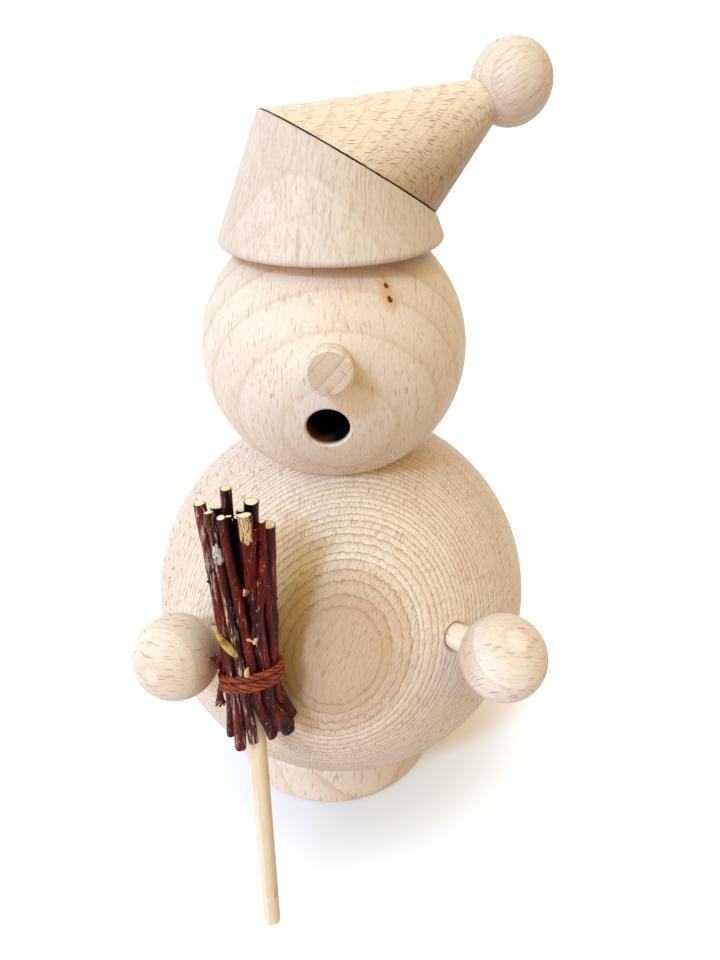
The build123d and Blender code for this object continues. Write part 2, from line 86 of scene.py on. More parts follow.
class Nodes:
    """A tree of shader nodes being put together."""

    def __init__(self, tree: bpy.types.NodeTree) -> None:
        """Takes the tree to add to.

        Args:
            tree: The tree of a material or of the world.
        """
        self.tree = tree

    def feed(self, socket: bpy.types.NodeSocket, value: object) -> None:
        """Joins a socket to another one, or sets it.

        Args:
            socket: The input to feed.
            value: An output socket, or a plain value.
        """
        if isinstance(value, bpy.types.NodeSocket):
            self.tree.links.new(value, socket)
        else:
            socket.default_value = value

    def node(self, kind: str, inputs: dict, **settings: object) -> bpy.types.Node:
        """Adds a node.

        Args:
            kind: The node's type.
            inputs: Its inputs by name or place.
            **settings: Properties of the node.

        Returns:
            The new node.
        """
        made = self.tree.nodes.new(kind)
        for key, value in settings.items():
            setattr(made, key, value)
        for key, value in inputs.items():
            self.feed(made.inputs[key], value)
        return made

    def scalar(self, operation: str, *terms: object) -> bpy.types.NodeSocket:
        """Adds arithmetic on numbers.

        Args:
            operation: The operation's name.
            *terms: Its one, two or three terms.

        Returns:
            The result.
        """
        return self.node("ShaderNodeMath", dict(enumerate(terms)), operation=operation).outputs[0]

    def times(self, value: object, share: object) -> bpy.types.NodeSocket:
        """Multiplies two numbers."""
        return self.scalar("MULTIPLY", value, share)

    def vector(self, operation: str, *terms: object) -> bpy.types.NodeSocket:
        """Adds arithmetic on vectors.

        Args:
            operation: The operation's name.
            *terms: Its terms.

        Returns:
            The resulting vector, or the number for a length, a distance or a dot product.
        """
        made = self.node("ShaderNodeVectorMath", dict(enumerate(terms)), operation=operation)
        return made.outputs["Value" if operation in ("LENGTH", "DISTANCE", "DOT_PRODUCT") else "Vector"]

    def between(self, value: object, start: float, end: float) -> bpy.types.NodeSocket:
        """Maps a range of values smoothly to 0 to 1.

        Args:
            value: The value to map.
            start: The value that gives 0.
            end: The value that gives 1.

        Returns:
            The mapped value.
        """
        made = self.node("ShaderNodeMapRange", {
            "Value": value, "From Min": start, "From Max": end,
        }, interpolation_type="SMOOTHSTEP")
        return made.outputs["Result"]

    def ramp(self, value: object, stops: list[tuple[float, object]]) -> bpy.types.NodeSocket:
        """Adds a ramp of colours or greys.

        Args:
            value: The value to look up.
            stops: Places from 0 to 1, each with a linear colour or a grey.

        Returns:
            The looked-up colour.
        """
        made = self.node("ShaderNodeValToRGB", {"Fac": value})
        points = made.color_ramp.elements
        for index, (spot, colour) in enumerate(stops):
            point = points[index] if index < 2 else points.new(spot)
            point.position = spot
            point.color = colour if isinstance(colour, tuple) else (colour, colour, colour, 1.0)
        return made.outputs["Color"]

    def mix(self, share: object, under: object, over: object, mode: str = "MIX") -> bpy.types.NodeSocket:
        """Lays one colour over another.

        Args:
            share: How much of the upper colour shows.
            under: The lower colour.
            over: The upper colour.
            mode: How they combine.

        Returns:
            The mixed colour.
        """
        made = self.node("ShaderNodeMix", {0: share, 6: under, 7: over}, data_type="RGBA", blend_type=mode)
        return made.outputs[2]

    def lay(self, under: object, mark: object, share: float, colour: Triple, mode: str = "MIX") -> bpy.types.NodeSocket:
        """Lays a screen colour over another one wherever there is a mark.

        Args:
            under: The lower colour.
            mark: 1 where the upper colour lies and 0 elsewhere.
            share: How much of it shows there.
            colour: Red, green and blue from 0 to 255.
            mode: How they combine.

        Returns:
            The mixed colour.
        """
        return self.mix(self.times(mark, share), under, linear(colour), mode)


class Shader(Nodes):
    """A material being put together."""

    def __init__(self, name: str) -> None:
        """Starts an empty material with its surface shader.

        Args:
            name: The material's name.
        """
        self.material = bpy.data.materials.new(name)
        self.material.use_nodes = True
        super().__init__(self.material.node_tree)
        self.tree.nodes.clear()
        output = self.tree.nodes.new("ShaderNodeOutputMaterial")
        self.surface = self.tree.nodes.new("ShaderNodeBsdfPrincipled")
        self.tree.links.new(self.surface.outputs["BSDF"], output.inputs["Surface"])

    def place(self, turn: Matrix = NO_TURN, shift: Vector = NO_SHIFT) -> bpy.types.NodeSocket:
        """Reads the piece's own coordinates in millimetres, turned and shifted.

        Args:
            turn: The turn from the object's directions to the pattern's.
            shift: The shift after the turn, in mm.

        Returns:
            The pattern's coordinates.
        """
        source = self.node("ShaderNodeTexCoord", {})
        mapped = self.node("ShaderNodeMapping", {
            "Vector": source.outputs["Object"],
            "Location": tuple(shift),
            "Rotation": tuple(turn.to_euler("XYZ")),
            "Scale": (1.0 / MM, 1.0 / MM, 1.0 / MM),
        })
        return mapped.outputs["Vector"]

    def around(self, spot: Triple, turn: Matrix = NO_TURN) -> bpy.types.NodeSocket:
        """Reads the piece's own coordinates in millimetres from a point of it, turned."""
        return self.place(turn, -(turn @ Vector(spot)))

    def length(self, place: object, stretch: Triple) -> bpy.types.NodeSocket:
        """Gives how far stretched coordinates lie from their origin."""
        return self.vector("LENGTH", self.vector("MULTIPLY", place, stretch))

    def noise(self, place: object, stretch: Triple, detail: float = 2.0, rough: float = 0.5) -> bpy.types.NodeSocket:
        """Adds stretched cloudy noise.

        Args:
            place: Coordinates in mm.
            stretch: Features per mm along each direction.
            detail: How many finer layers it has.
            rough: How strong those are.

        Returns:
            The noise, from 0 to 1 about 0.5.
        """
        spread = self.vector("MULTIPLY", place, stretch)
        made = self.node("ShaderNodeTexNoise", {"Vector": spread, "Scale": 1.0, "Detail": detail, "Roughness": rough})
        return made.outputs["Fac"]

    def spots(
        self, place: object, stretch: Triple, least: float, most: float, filled: float = 1.0
    ) -> bpy.types.NodeSocket:
        """Adds scattered soft-edged spots of uneven size and strength.

        Args:
            place: Coordinates in mm.
            stretch: Cells per mm along each direction.
            least: Radius of the smallest spots, as a share of a cell.
            most: Radius of the largest.
            filled: Share of the cells that hold a spot.

        Returns:
            1 in the spots and 0 between them.
        """
        spread = self.vector("MULTIPLY", place, stretch)
        cells = self.node("ShaderNodeTexVoronoi", {"Vector": spread, "Scale": 1.0, "Randomness": 1.0})
        picked = self.node("ShaderNodeSeparateColor", {"Color": cells.outputs["Color"]})
        size = self.scalar("MULTIPLY_ADD", picked.outputs[0], most - least, least)
        ratio = self.scalar("DIVIDE", cells.outputs["Distance"], size)
        strength = self.between(picked.outputs[1], 1.0 - filled, 1.35 - filled)
        return self.times(self.between(ratio, 1.0, 0.45), strength)

    def bump(self, height: object, depth: float) -> bpy.types.NodeSocket:
        """Turns a height into a surface relief.

        Args:
            height: The height, from 0 to 1.
            depth: How deep the relief is, in mm.

        Returns:
            The bent surface direction.
        """
        made = self.node("ShaderNodeBump", {"Height": height, "Strength": 1.0, "Distance": depth * MM})
        return made.outputs["Normal"]

    def dress(self, **values: object) -> bpy.types.Material:
        """Feeds the surface shader, with underscores for the spaces in its socket names.

        Args:
            **values: Sockets or plain values by name.

        Returns:
            The finished material.
        """
        for key, value in values.items():
            self.feed(self.surface.inputs[key.replace("_", " ")], value)
        return self.material


@dataclass(frozen=True)
class Cut:
    """How one piece lies in the tree that it was turned from, in mm."""

    centre: Triple
    fibre: Triple
    to_heart: Triple
    heart: float
    ring: float
    along: float = 0.0
    first: float = 0.0
    widen: float = 0.0
    widen_to: float = 30.0

    def turn(self) -> Matrix:
        """Gives the turn from the object's directions to the tree's: outwards, round and along."""
        fibre = Vector(self.fibre).normalized()
        outwards = -Vector(self.to_heart)
        outwards = (outwards - fibre * outwards.dot(fibre)).normalized()
        return Matrix((outwards, fibre.cross(outwards), fibre))

    def shift(self) -> Vector:
        """Gives the shift that puts the tree's heart on the pattern's axis."""
        return Vector((self.heart, 0.0, self.along)) - self.turn() @ Vector(self.centre)


@dataclass(frozen=True)
class ToneAndShade:
    """A side drawn darker, partly painted shade and partly the wood's own darker tone: a point, the way towards it,
    where it starts and is full in mm, and its tint.
    """

    spot: Triple
    way: Triple
    start: float
    full: float
    colour: Triple


@dataclass(frozen=True)
class Bore:
    """A hole that runs straight back into a ball and is painted with its shade: its rim's middle, radius, and the
    ball's, in mm.
    """

    spot: Triple
    radius: float
    ball_middle: Triple
    ball_radius: float


@dataclass(frozen=True)
class Beech:
    """Bare sanded beech: growth rings, dark ray flecks, fine fibres and greyer end grain."""

    name: str
    cut: Cut
    pale: Triple = (241, 230, 218)
    late: Triple = (198, 163, 122)
    fleck: Triple = (158, 114, 80)
    end: Triple = (230, 211, 196)
    ring_share: float = 0.5
    thread_share: float = 0.3
    thread_run: float = 0.22
    fleck_share: float = 0.75
    fleck_width: float = 0.15
    fleck_length: float = 2.0
    fleck_depth: float = 3.2
    fleck_filled: float = 0.55
    sway: float = 1.0
    uneven: float = 1.6
    jagged: float = 0.04
    core: float = 0.0
    shaded_seam: tuple[Triple, Triple, float] | None = None
    knots: tuple[tuple[Triple, float], ...] = ()
    tone_and_shade: ToneAndShade | None = None
    bore: Bore | None = None
    cloud_share: float = 0.5
    shade_share: float = 0.16
    fine_share: float = 0.42
    end_share: float = 0.55
    halo_share: float = 0.55
    halo: Triple = (208, 150, 92)
    knot: Triple = (96, 44, 22)
    # Painted shade inside a bore: near black deep in, brown where its wall is half lit.
    bore_deep_shade: Triple = (8, 5, 4)
    bore_half_shade: Triple = (132, 68, 34)
    # Painted shade in the gaping joint along a sawn plane.
    gap: Triple = (9, 5, 3)
    gloss: float = 0.28
    relief_depth: float = 0.03

    def rings(self, shader: Shader, place: object, reach: object) -> tuple[object, object, object]:
        """Works out where a point lies in its growth ring.

        Args:
            shader: The material being made.
            place: Coordinates in the tree, in mm.
            reach: Distance from the heart, in mm.

        Returns:
            The late-wood line, from 0 to 1, a shade of its own for each ring, and the ring's count.
        """
        drift = shader.noise(place, (0.035, 0.035, 0.01), 2.0)
        swayed = shader.scalar("MULTIPLY_ADD", shader.scalar("SUBTRACT", drift, 0.5), 3.0 * self.sway, reach)
        depth = shader.scalar("SUBTRACT", swayed, self.cut.first)
        count = shader.times(depth, 1.0 / self.cut.ring)
        if self.cut.widen:
            near = shader.scalar("MINIMUM", depth, self.cut.widen_to)
            twice = shader.scalar("MULTIPLY_ADD", depth, 2.0, shader.times(near, -1.0))
            slowed = shader.times(near, twice)
            count = shader.scalar("MULTIPLY_ADD", slowed, -self.cut.widen, count)
        drawn = shader.node("ShaderNodeTexNoise", {"W": count, "Scale": 0.31, "Detail": 1.0}, noise_dimensions="1D")
        count = shader.scalar("MULTIPLY_ADD", shader.scalar("SUBTRACT", drawn.outputs["Fac"], 0.5), self.uneven, count)
        broken = shader.noise(place, (1.4, 1.4, 0.5), 2.0, 0.6)
        jagged = shader.scalar("MULTIPLY_ADD", shader.scalar("SUBTRACT", broken, 0.5), self.jagged * 4.0, count)
        step = shader.scalar("FRACT", jagged)
        line = shader.ramp(step, [(0.0, 0.0), (1.0, 0.0), (0.55, 0.1), (0.82, 0.4), (0.93, 1.0)])
        worn = shader.noise(place, (0.9, 0.9, 0.5), 3.0, 0.65)
        line = shader.times(line, shader.between(worn, 0.08, 0.52))
        shade = shader.node("ShaderNodeTexWhiteNoise", {"W": shader.scalar("FLOOR", count)}, noise_dimensions="1D")
        return line, shade.outputs["Value"], count

    def flecks(self, shader: Shader, place: object, reach: object) -> tuple[object, object]:
        """Scatters the rays: thin across, longer along the fibre and long towards the heart.

        Args:
            shader: The material being made.
            place: Coordinates in the tree, in mm.
            reach: Distance from the heart, in mm.

        Returns:
            The large flecks and the fine ones.
        """
        parts = shader.node("ShaderNodeSeparateXYZ", {"Vector": place})
        round_way = shader.scalar("ARCTAN2", parts.outputs[1], parts.outputs[0])
        round_way = shader.times(round_way, self.cut.heart)
        wander = shader.noise(place, (0.12, 0.12, 0.16), 2.0)
        round_way = shader.scalar("MULTIPLY_ADD", wander, 1.6, round_way)
        rays = shader.node("ShaderNodeCombineXYZ", {"X": reach, "Y": round_way, "Z": parts.outputs[2]})
        across = 1.0 / self.fleck_width
        lengthwise = 1.0 / self.fleck_length
        inwards = 1.0 / self.fleck_depth
        large = shader.spots(rays.outputs[0], (inwards, across, lengthwise), 0.22, 0.46, self.fleck_filled)
        fine = shader.spots(rays.outputs[0], (inwards * 1.7, across * 1.6, lengthwise * 1.7), 0.2, 0.5, 0.7)
        return large, fine

    def knot_mark(self, shader: Shader, spot: Triple, size: float) -> bpy.types.NodeSocket:
        """Marks a small pin knot, drawn out along the fibre.

        Args:
            shader: The material being made.
            spot: The knot's middle, in mm.
            size: Its half width, in mm.

        Returns:
            A value that grows away from the knot.
        """
        own = shader.around(spot, self.cut.turn())
        across = 1.0 / size
        ragged = shader.noise(own, (1.3, 1.3, 1.0), 3.0, 0.7)
        return shader.scalar("MULTIPLY_ADD", ragged, 1.5, shader.length(own, (across, across, across * 0.42)))

    def seam_shade_mark(self, shader: Shader) -> bpy.types.NodeSocket:
        """Marks the painted shade in the joint along a sawn plane, which gapes unevenly.

        Args:
            shader: The material being made.

        Returns:
            1 in the joint and 0 elsewhere.
        """
        spot, normal, half = self.shaded_seam
        own = shader.around(spot)
        away = shader.scalar("ABSOLUTE", shader.vector("DOT_PRODUCT", own, normal))
        open_share = shader.scalar("MULTIPLY_ADD", shader.noise(own, (0.5, 0.5, 0.5), 3.0, 0.7), 1.5, 0.15)
        return shader.between(shader.scalar("DIVIDE", away, open_share), half * 1.3, half * 0.8)

    def bore_shade(self, shader: Shader) -> tuple[object, object]:
        """Marks the painted shade inside a bore that runs straight back, and its half-lit side.

        Args:
            shader: The material being made.

        Returns:
            1 inside the bore and 0 outside, and 1 where its lower right wall takes the browner, lighter painted shade.
        """
        radius = self.bore.radius
        own = shader.around(self.bore.spot)
        away = shader.length(own, (1.0, 0.0, 1.0))
        middle = Vector(self.bore.ball_middle) - Vector(self.bore.spot)
        depth = shader.scalar("SUBTRACT", self.bore.ball_radius, shader.vector("DISTANCE", own, tuple(middle)))
        aside = shader.between(shader.vector("DOT_PRODUCT", own, (-0.8, 0.0, -0.6)), radius * 0.2, radius * 0.9)
        shallow = shader.between(depth, radius * 1.5, radius * 0.2)
        within = shader.between(away, radius * 1.12, radius * 1.02)
        inside = shader.times(within, shader.between(depth, 0.35, 1.1))
        return inside, shader.times(aside, shallow)

    def tone_and_shade_mark(self, shader: Shader) -> bpy.types.NodeSocket:
        """Marks the side drawn darker with painted shade and darker wood tone."""
        own = shader.around(self.tone_and_shade.spot)
        return shader.between(shader.vector("DOT_PRODUCT", own, self.tone_and_shade.way), self.tone_and_shade.start, self.tone_and_shade.full)

    def material(self) -> bpy.types.Material:
        """Makes the material.

        Returns:
            The beech of this piece.
        """
        shader = Shader(self.name)
        place = shader.place(self.cut.turn(), self.cut.shift())
        reach = shader.length(place, (1.0, 1.0, 0.0))
        line, shade, count = self.rings(shader, place, reach)
        large, fine = self.flecks(shader, place, reach)
        cloud = shader.noise(place, (0.09, 0.09, 0.03), 3.0)
        threads = shader.noise(place, (3.2, 3.2, self.thread_run), 3.0, 0.6)
        facing = shader.node("ShaderNodeTexCoord", {})
        ends = shader.vector("DOT_PRODUCT", facing.outputs["Normal"], tuple(Vector(self.cut.fibre).normalized()))
        ends = shader.between(shader.scalar("ABSOLUTE", ends), 0.62, 1.0)
        body = shader.lay(linear(self.pale), shader.between(cloud, 0.3, 0.72), self.cloud_share, self.end)
        body = shader.lay(body, shade, self.shade_share, self.late)
        body = shader.lay(body, shader.between(threads, 0.42, 0.75), self.thread_share, self.late)
        if self.core:
            line = shader.times(line, shader.between(count, -0.7, -0.15))
            body = shader.lay(body, shader.between(count, 5.0, -0.5), self.core, self.late)
        body = shader.lay(body, line, self.ring_share, self.late)
        body = shader.lay(body, fine, self.fine_share, self.late)
        body = shader.lay(body, large, self.fleck_share, self.fleck)
        body = shader.lay(body, ends, self.end_share, self.end, "MULTIPLY")
        for spot, size in self.knots:
            near = self.knot_mark(shader, spot, size)
            body = shader.lay(body, shader.between(near, 3.8, 1.5), self.halo_share, self.halo)
            body = shader.mix(shader.between(near, 1.55, 1.2), body, linear(self.knot))
        # Painted shade, with some darker wood tone, on one side of the piece.
        if self.tone_and_shade is not None:
            body = shader.mix(self.tone_and_shade_mark(shader), body, linear(self.tone_and_shade.colour), "MULTIPLY")
        # Painted shade inside the mouth's bore, standing in for the shade that falls into it.
        if self.bore is not None:
            in_bore_shade, bore_half_shade = self.bore_shade(shader)
            body = shader.mix(in_bore_shade, body, shader.mix(bore_half_shade, linear(self.bore_deep_shade), linear(self.bore_half_shade)))
        # Painted shade along the gaping joint between the hat parts.
        if self.shaded_seam is not None:
            body = shader.mix(self.seam_shade_mark(shader), body, linear(self.gap))
        relief = shader.scalar("MULTIPLY_ADD", large, -0.7, shader.times(threads, 0.35))
        roughness = shader.scalar("MULTIPLY_ADD", threads, 0.16, 0.46)
        return shader.dress(
            Base_Color=body, Roughness=roughness, Specular_IOR_Level=self.gloss,
            Normal=shader.bump(relief, self.relief_depth),
        )


@dataclass(frozen=True)
class Patch:
    """A bare or overgrown place on bark: where, its half sizes across and along in mm, and its two colours."""

    spot: Triple
    across: float
    along: float
    colour: Triple
    under: Triple


@dataclass(frozen=True)
class Bark:
    """Thin dry bark with silvery peeling streaks, dark furrows, pale breathing dots and painted shade towards the
    bundle's middle.
    """

    name: str
    turn: Matrix
    middle_spot: Triple
    deep: Triple = (12, 2, 2)
    middle: Triple = (94, 13, 9)
    bright: Triple = (160, 40, 25)
    peel: Triple = (202, 182, 160)
    peel_start: float = 0.6
    shift: float = 0.0
    # Painted shade: where the bark starts to darken and where it is darkest, measured from the bundle's middle, and how
    # dark it gets.
    full_shade_reach: float = 2.7
    unshaded_reach: float = 4.1
    patch: Patch | None = None
    furrow_share: float = 0.8
    peel_share: float = 0.85
    dot: Triple = (236, 206, 180)
    dot_share: float = 0.9
    bundle_shade: Triple = (4, 1, 1)
    bundle_shade_share: float = 0.94
    relief_depth: float = 0.16

    def patch_mark(self, shader: Shader) -> bpy.types.NodeSocket:
        """Marks the patch, with ragged edges.

        Args:
            shader: The material being made.

        Returns:
            1 in the patch and 0 elsewhere.
        """
        own = shader.around(self.patch.spot, self.turn)
        reach = shader.length(own, (1.0 / self.patch.across, 1.0 / self.patch.across, 1.0 / self.patch.along))
        ragged = shader.noise(own, (2.0, 2.0, 0.9), 4.0, 0.7)
        return shader.between(shader.scalar("MULTIPLY_ADD", ragged, 2.0, reach), 2.05, 1.75)

    def material(self) -> bpy.types.Material:
        """Makes the material.

        Returns:
            The bark of one kind of twig.
        """
        shader = Shader(self.name)
        place = shader.place(self.turn, Vector((self.shift, 0.0, self.shift)))
        long_marks = shader.noise(place, (0.9, 0.9, 0.1), 4.0, 0.6)
        streaks = shader.noise(place, (2.6, 2.6, 0.22), 4.0, 0.68)
        grain = shader.noise(place, (6.5, 6.5, 1.3), 3.0, 0.6)
        dots = shader.spots(place, (2.2, 2.2, 1.7), 0.07, 0.21, 0.9)
        colour = shader.ramp(long_marks, [
            (0.35, linear(self.deep)), (0.75, linear(self.bright)), (0.54, linear(self.middle)),
        ])
        colour = shader.lay(colour, shader.between(grain, 0.46, 0.66), self.furrow_share, self.deep)
        peeled = shader.between(streaks, self.peel_start, self.peel_start + 0.07)
        flaky = shader.times(peeled, shader.between(grain, 0.34, 0.56))
        colour = shader.lay(colour, flaky, self.peel_share, self.peel)
        colour = shader.lay(colour, dots, self.dot_share, self.dot)
        if self.patch is not None:
            bare = shader.mix(shader.between(grain, 0.42, 0.62), linear(self.patch.colour), linear(self.patch.under))
            colour = shader.mix(self.patch_mark(shader), colour, bare)
        # Painted shade: the bark turns near black towards the bundle's middle, where the twigs shade each other.
        reach = shader.length(shader.around(self.middle_spot, self.turn), (1.0, 1.0, 0.0))
        bundle_shade = shader.between(shader.scalar("MULTIPLY_ADD", grain, 0.6, reach), self.unshaded_reach, self.full_shade_reach)
        colour = shader.lay(colour, bundle_shade, self.bundle_shade_share, self.bundle_shade)
        height = shader.scalar("MULTIPLY_ADD", streaks, 0.8, shader.times(grain, 0.45))
        height = shader.scalar("MULTIPLY_ADD", dots, 0.3, height)
        roughness = shader.scalar("MULTIPLY_ADD", flaky, 0.3, 0.42)
        return shader.dress(
            Base_Color=colour, Roughness=roughness, Specular_IOR_Level=0.14,
            Normal=shader.bump(height, self.relief_depth),
        )


@dataclass(frozen=True)
class CutWood:
    """Fresh pale wood of a cut or peeled twig."""

    name: str
    turn: Matrix
    pale: Triple = (248, 234, 196)
    dark: Triple = (214, 176, 112)
    dark_start: float = 0.55

    def material(self) -> bpy.types.Material:
        """Makes the material.

        Returns:
            The bare wood.
        """
        shader = Shader(self.name)
        place = shader.place(self.turn, Vector((3.0, 7.0, 1.0)))
        blotch = shader.noise(place, (0.8, 0.8, 0.5), 3.0)
        fine = shader.noise(place, (5.0, 5.0, 1.0), 3.0, 0.65)
        colour = shader.mix(
            shader.between(blotch, self.dark_start, self.dark_start + 0.2), linear(self.pale), linear(self.dark)
        )
        colour = shader.lay(colour, shader.between(fine, 0.5, 0.75), 0.4, self.dark)
        roughness = shader.scalar("MULTIPLY_ADD", fine, 0.2, 0.5)
        return shader.dress(
            Base_Color=colour, Roughness=roughness, Specular_IOR_Level=0.3, Normal=shader.bump(fine, 0.04)
        )


@dataclass(frozen=True)
class Cord:
    """Waxed red-brown cord, mottled by its fibres."""

    name: str
    deep: Triple = (76, 20, 6)
    middle: Triple = (146, 54, 19)
    bright: Triple = (210, 112, 54)

    def material(self) -> bpy.types.Material:
        """Makes the material.

        Returns:
            The cord.
        """
        shader = Shader(self.name)
        place = shader.place()
        slow = shader.noise(place, (0.5, 0.5, 0.5), 2.0)
        hairs = shader.noise(place, (6.0, 6.0, 6.0), 3.0, 0.7)
        tone = shader.scalar("MULTIPLY_ADD", hairs, 0.7, shader.times(slow, 0.35))
        colour = shader.ramp(tone, [
            (0.3, linear(self.deep)), (0.72, linear(self.bright)), (0.5, linear(self.middle)),
        ])
        roughness = shader.scalar("MULTIPLY_ADD", hairs, 0.25, 0.32)
        return shader.dress(
            Base_Color=colour, Roughness=roughness, Specular_IOR_Level=0.3, Normal=shader.bump(hairs, 0.05)
        )


@dataclass(frozen=True)
class PressedBrass:
    """Thin pressed brass with faint turning lines and a little dulling."""

    name: str
    bright: Triple = (214, 178, 104)
    dull: Triple = (166, 128, 70)

    def material(self) -> bpy.types.Material:
        """Makes the material.

        Returns:
            The brass of the tray.
        """
        shader = Shader(self.name)
        place = shader.place()
        reach = shader.length(place, (1.0, 1.0, 0.0))
        lines = shader.node("ShaderNodeTexNoise", {"W": reach, "Scale": 6.0, "Detail": 3.0}, noise_dimensions="1D")
        haze = shader.noise(place, (0.3, 0.3, 0.3), 4.0, 0.6)
        colour = shader.mix(shader.between(haze, 0.4, 0.7), linear(self.bright), linear(self.dull))
        roughness = shader.scalar("MULTIPLY_ADD", haze, 0.3, 0.2)
        return shader.dress(
            Base_Color=colour, Metallic=1.0, Roughness=roughness,
            Normal=shader.bump(lines.outputs["Fac"], 0.02),
        )


@dataclass(frozen=True)
class WhitePaper:
    """Matt white sheet that the figure stands on, with a painted glow that grows away from the figure's shadow and a
    painted cool shade before the figure.
    """

    name: str
    tone: Triple = (241, 241, 243)
    second_tone: Triple = (238, 238, 241)
    glow: Triple = (0.36, 0.40, 0.55)
    glow_start: float = 20.0
    glow_full: float = 47.0
    shadow_middle: Triple = (5.0, 0.0, 0.0)
    # Painted shade: a cool tint laid on the sheet before the figure.
    cool_shade_tone: Triple = (229, 232, 240)
    cool_shade_middle: Triple = (-13.0, -17.0, 0.0)
    cool_shade_reach: float = 38.0
    cool_shade_full: float = 6.0

    def material(self) -> bpy.types.Material:
        """Makes the material.

        Returns:
            The floor's white.
        """
        shader = Shader(self.name)
        place = shader.place()
        fibres = shader.noise(place, (0.02, 0.02, 0.02), 2.0)
        colour = shader.mix(fibres, linear(self.tone), linear(self.second_tone))
        # Painted shade: the cool tint grows towards its middle before the figure.
        cool_shade_mask = shader.between(shader.vector("DISTANCE", place, self.cool_shade_middle), self.cool_shade_reach, self.cool_shade_full)
        colour = shader.mix(cool_shade_mask, colour, linear(self.cool_shade_tone))
        # Painted light: the sheet glows more the farther it lies from the figure's shadow.
        reach = shader.vector("DISTANCE", place, self.shadow_middle)
        return shader.dress(
            Base_Color=colour, Roughness=0.9, Specular_IOR_Level=0.1, Emission_Color=(*self.glow, 1.0),
            Emission_Strength=shader.between(reach, self.glow_start, self.glow_full),
        )


def paint(node: str, finish: bpy.types.Material) -> None:
    """Gives a CAD node its finish.

    Args:
        node: The node's name.
        finish: The material for all its faces.
    """
    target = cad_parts[node]
    if not target.material_slots:
        target.data.materials.append(finish)
    for slot in target.material_slots:
        slot.material = finish
    LOG.info("dressed %s", node)


def settle(mesh: bmesh.types.BMesh, name: str, finishes: list[bpy.types.Material], smooth: float) -> bpy.types.Object:
    """Makes an object of a mesh that was built in millimetres.

    Args:
        mesh: The mesh, which is used up.
        name: The object's name.
        finishes: Materials in the order of the faces' material numbers.
        smooth: Edges that bend less than this, in degrees, are shaded smooth.

    Returns:
        The new object, at the origin.
    """
    bmesh.ops.recalc_face_normals(mesh, faces=mesh.faces)
    bmesh.ops.scale(mesh, vec=(MM, MM, MM), verts=mesh.verts)
    for face in mesh.faces:
        face.smooth = True
    for edge in mesh.edges:
        edge.smooth = edge.calc_face_angle(0.0) < math.radians(smooth)
    data = bpy.data.meshes.new(name)
    mesh.to_mesh(data)
    mesh.free()
    for finish in finishes:
        data.materials.append(finish)
    made = bpy.data.objects.new(name, data)
    bpy.context.scene.collection.objects.link(made)
    return made


def ways(points: list[Vector]) -> list[Vector]:
    """Gives the direction of a line at each of its points.

    Args:
        points: The points along the line.

    Returns:
        The unit directions.
    """
    last = len(points) - 1
    return [(points[min(index + 1, last)] - points[max(index - 1, 0)]).normalized() for index in range(last + 1)]


def ring_place(point: Vector, way: Vector, size: float) -> Matrix:
    """Gives the place of one ring of a swept tube.

    Args:
        point: Its centre.
        way: The direction that it faces.
        size: Its radius.

    Returns:
        The matrix from a unit ring to its place.
    """
    facing = Vector((0.0, 0.0, 1.0)).rotation_difference(way).to_matrix().to_4x4()
    return Matrix.Translation(point) @ facing @ Matrix.Scale(size, 4)


def sweep(mesh: bmesh.types.BMesh, places: list[Matrix], sides: int, material: int = 0) -> list[list]:
    """Draws a ring out through its places into a tube.

    Args:
        mesh: The mesh to add to.
        places: The rings' places in order.
        sides: How many corners a ring has.
        material: Material number of the tube's faces.

    Returns:
        The edges of the first ring and those of the last.
    """
    made = bmesh.ops.create_circle(mesh, cap_ends=False, segments=sides, radius=1.0, matrix=places[0])
    first = list({edge for vert in made["verts"] for edge in vert.link_edges})
    ring = first
    for before, after in zip(places, places[1:]):
        drawn = bmesh.ops.extrude_edge_only(mesh, edges=ring)["geom"]
        verts = {item for item in drawn if isinstance(item, bmesh.types.BMVert)}
        for item in drawn:
            if isinstance(item, bmesh.types.BMFace):
                item.material_index = material
        ring = [
            item for item in drawn
            if isinstance(item, bmesh.types.BMEdge) and item.verts[0] in verts and item.verts[1] in verts
        ]
        bmesh.ops.transform(mesh, matrix=after @ before.inverted(), verts=list(verts))
    return [first, ring]


def smooth_line(route: list[Vector], fineness: int) -> list[Vector]:
    """Runs one smooth curve by a route and reads it back as close points.

    Args:
        route: The points that steer it, in mm.
        fineness: How many points it gets for each of those.

    Returns:
        The points along the curve in mm.
    """
    curve = bpy.data.curves.new("guide_line", "CURVE")
    curve.dimensions = "3D"
    curve.resolution_u = fineness
    spline = curve.splines.new("NURBS")
    spline.points.add(len(route) - 1)
    for point, spot in zip(spline.points, route):
        point.co = (*spot, 1.0)
    spline.order_u = 3
    spline.use_endpoint_u = True
    guide = bpy.data.objects.new("guide_line", curve)
    bpy.context.scene.collection.objects.link(guide)
    bpy.context.view_layer.update()
    read = bpy.data.meshes.new_from_object(guide)
    points = [vert.co.copy() for vert in read.vertices]
    bpy.data.objects.remove(guide)
    bpy.data.curves.remove(curve)
    bpy.data.meshes.remove(read)
    return points


def cap(mesh: bmesh.types.BMesh, ring: list, rim: float, material: int) -> None:
    """Closes a tube's end with a cut face inside a rim of bark.

    Args:
        mesh: The mesh that holds the tube.
        ring: The edges of its last ring.
        rim: How wide the rim is, in mm.
        material: Material number of the cut face.
    """
    faces = bmesh.ops.edgeloop_fill(mesh, edges=ring)["faces"]
    bmesh.ops.inset_region(mesh, faces=faces, thickness=rim, depth=rim * 0.35, use_even_offset=True)
    for face in faces:
        face.material_index = material


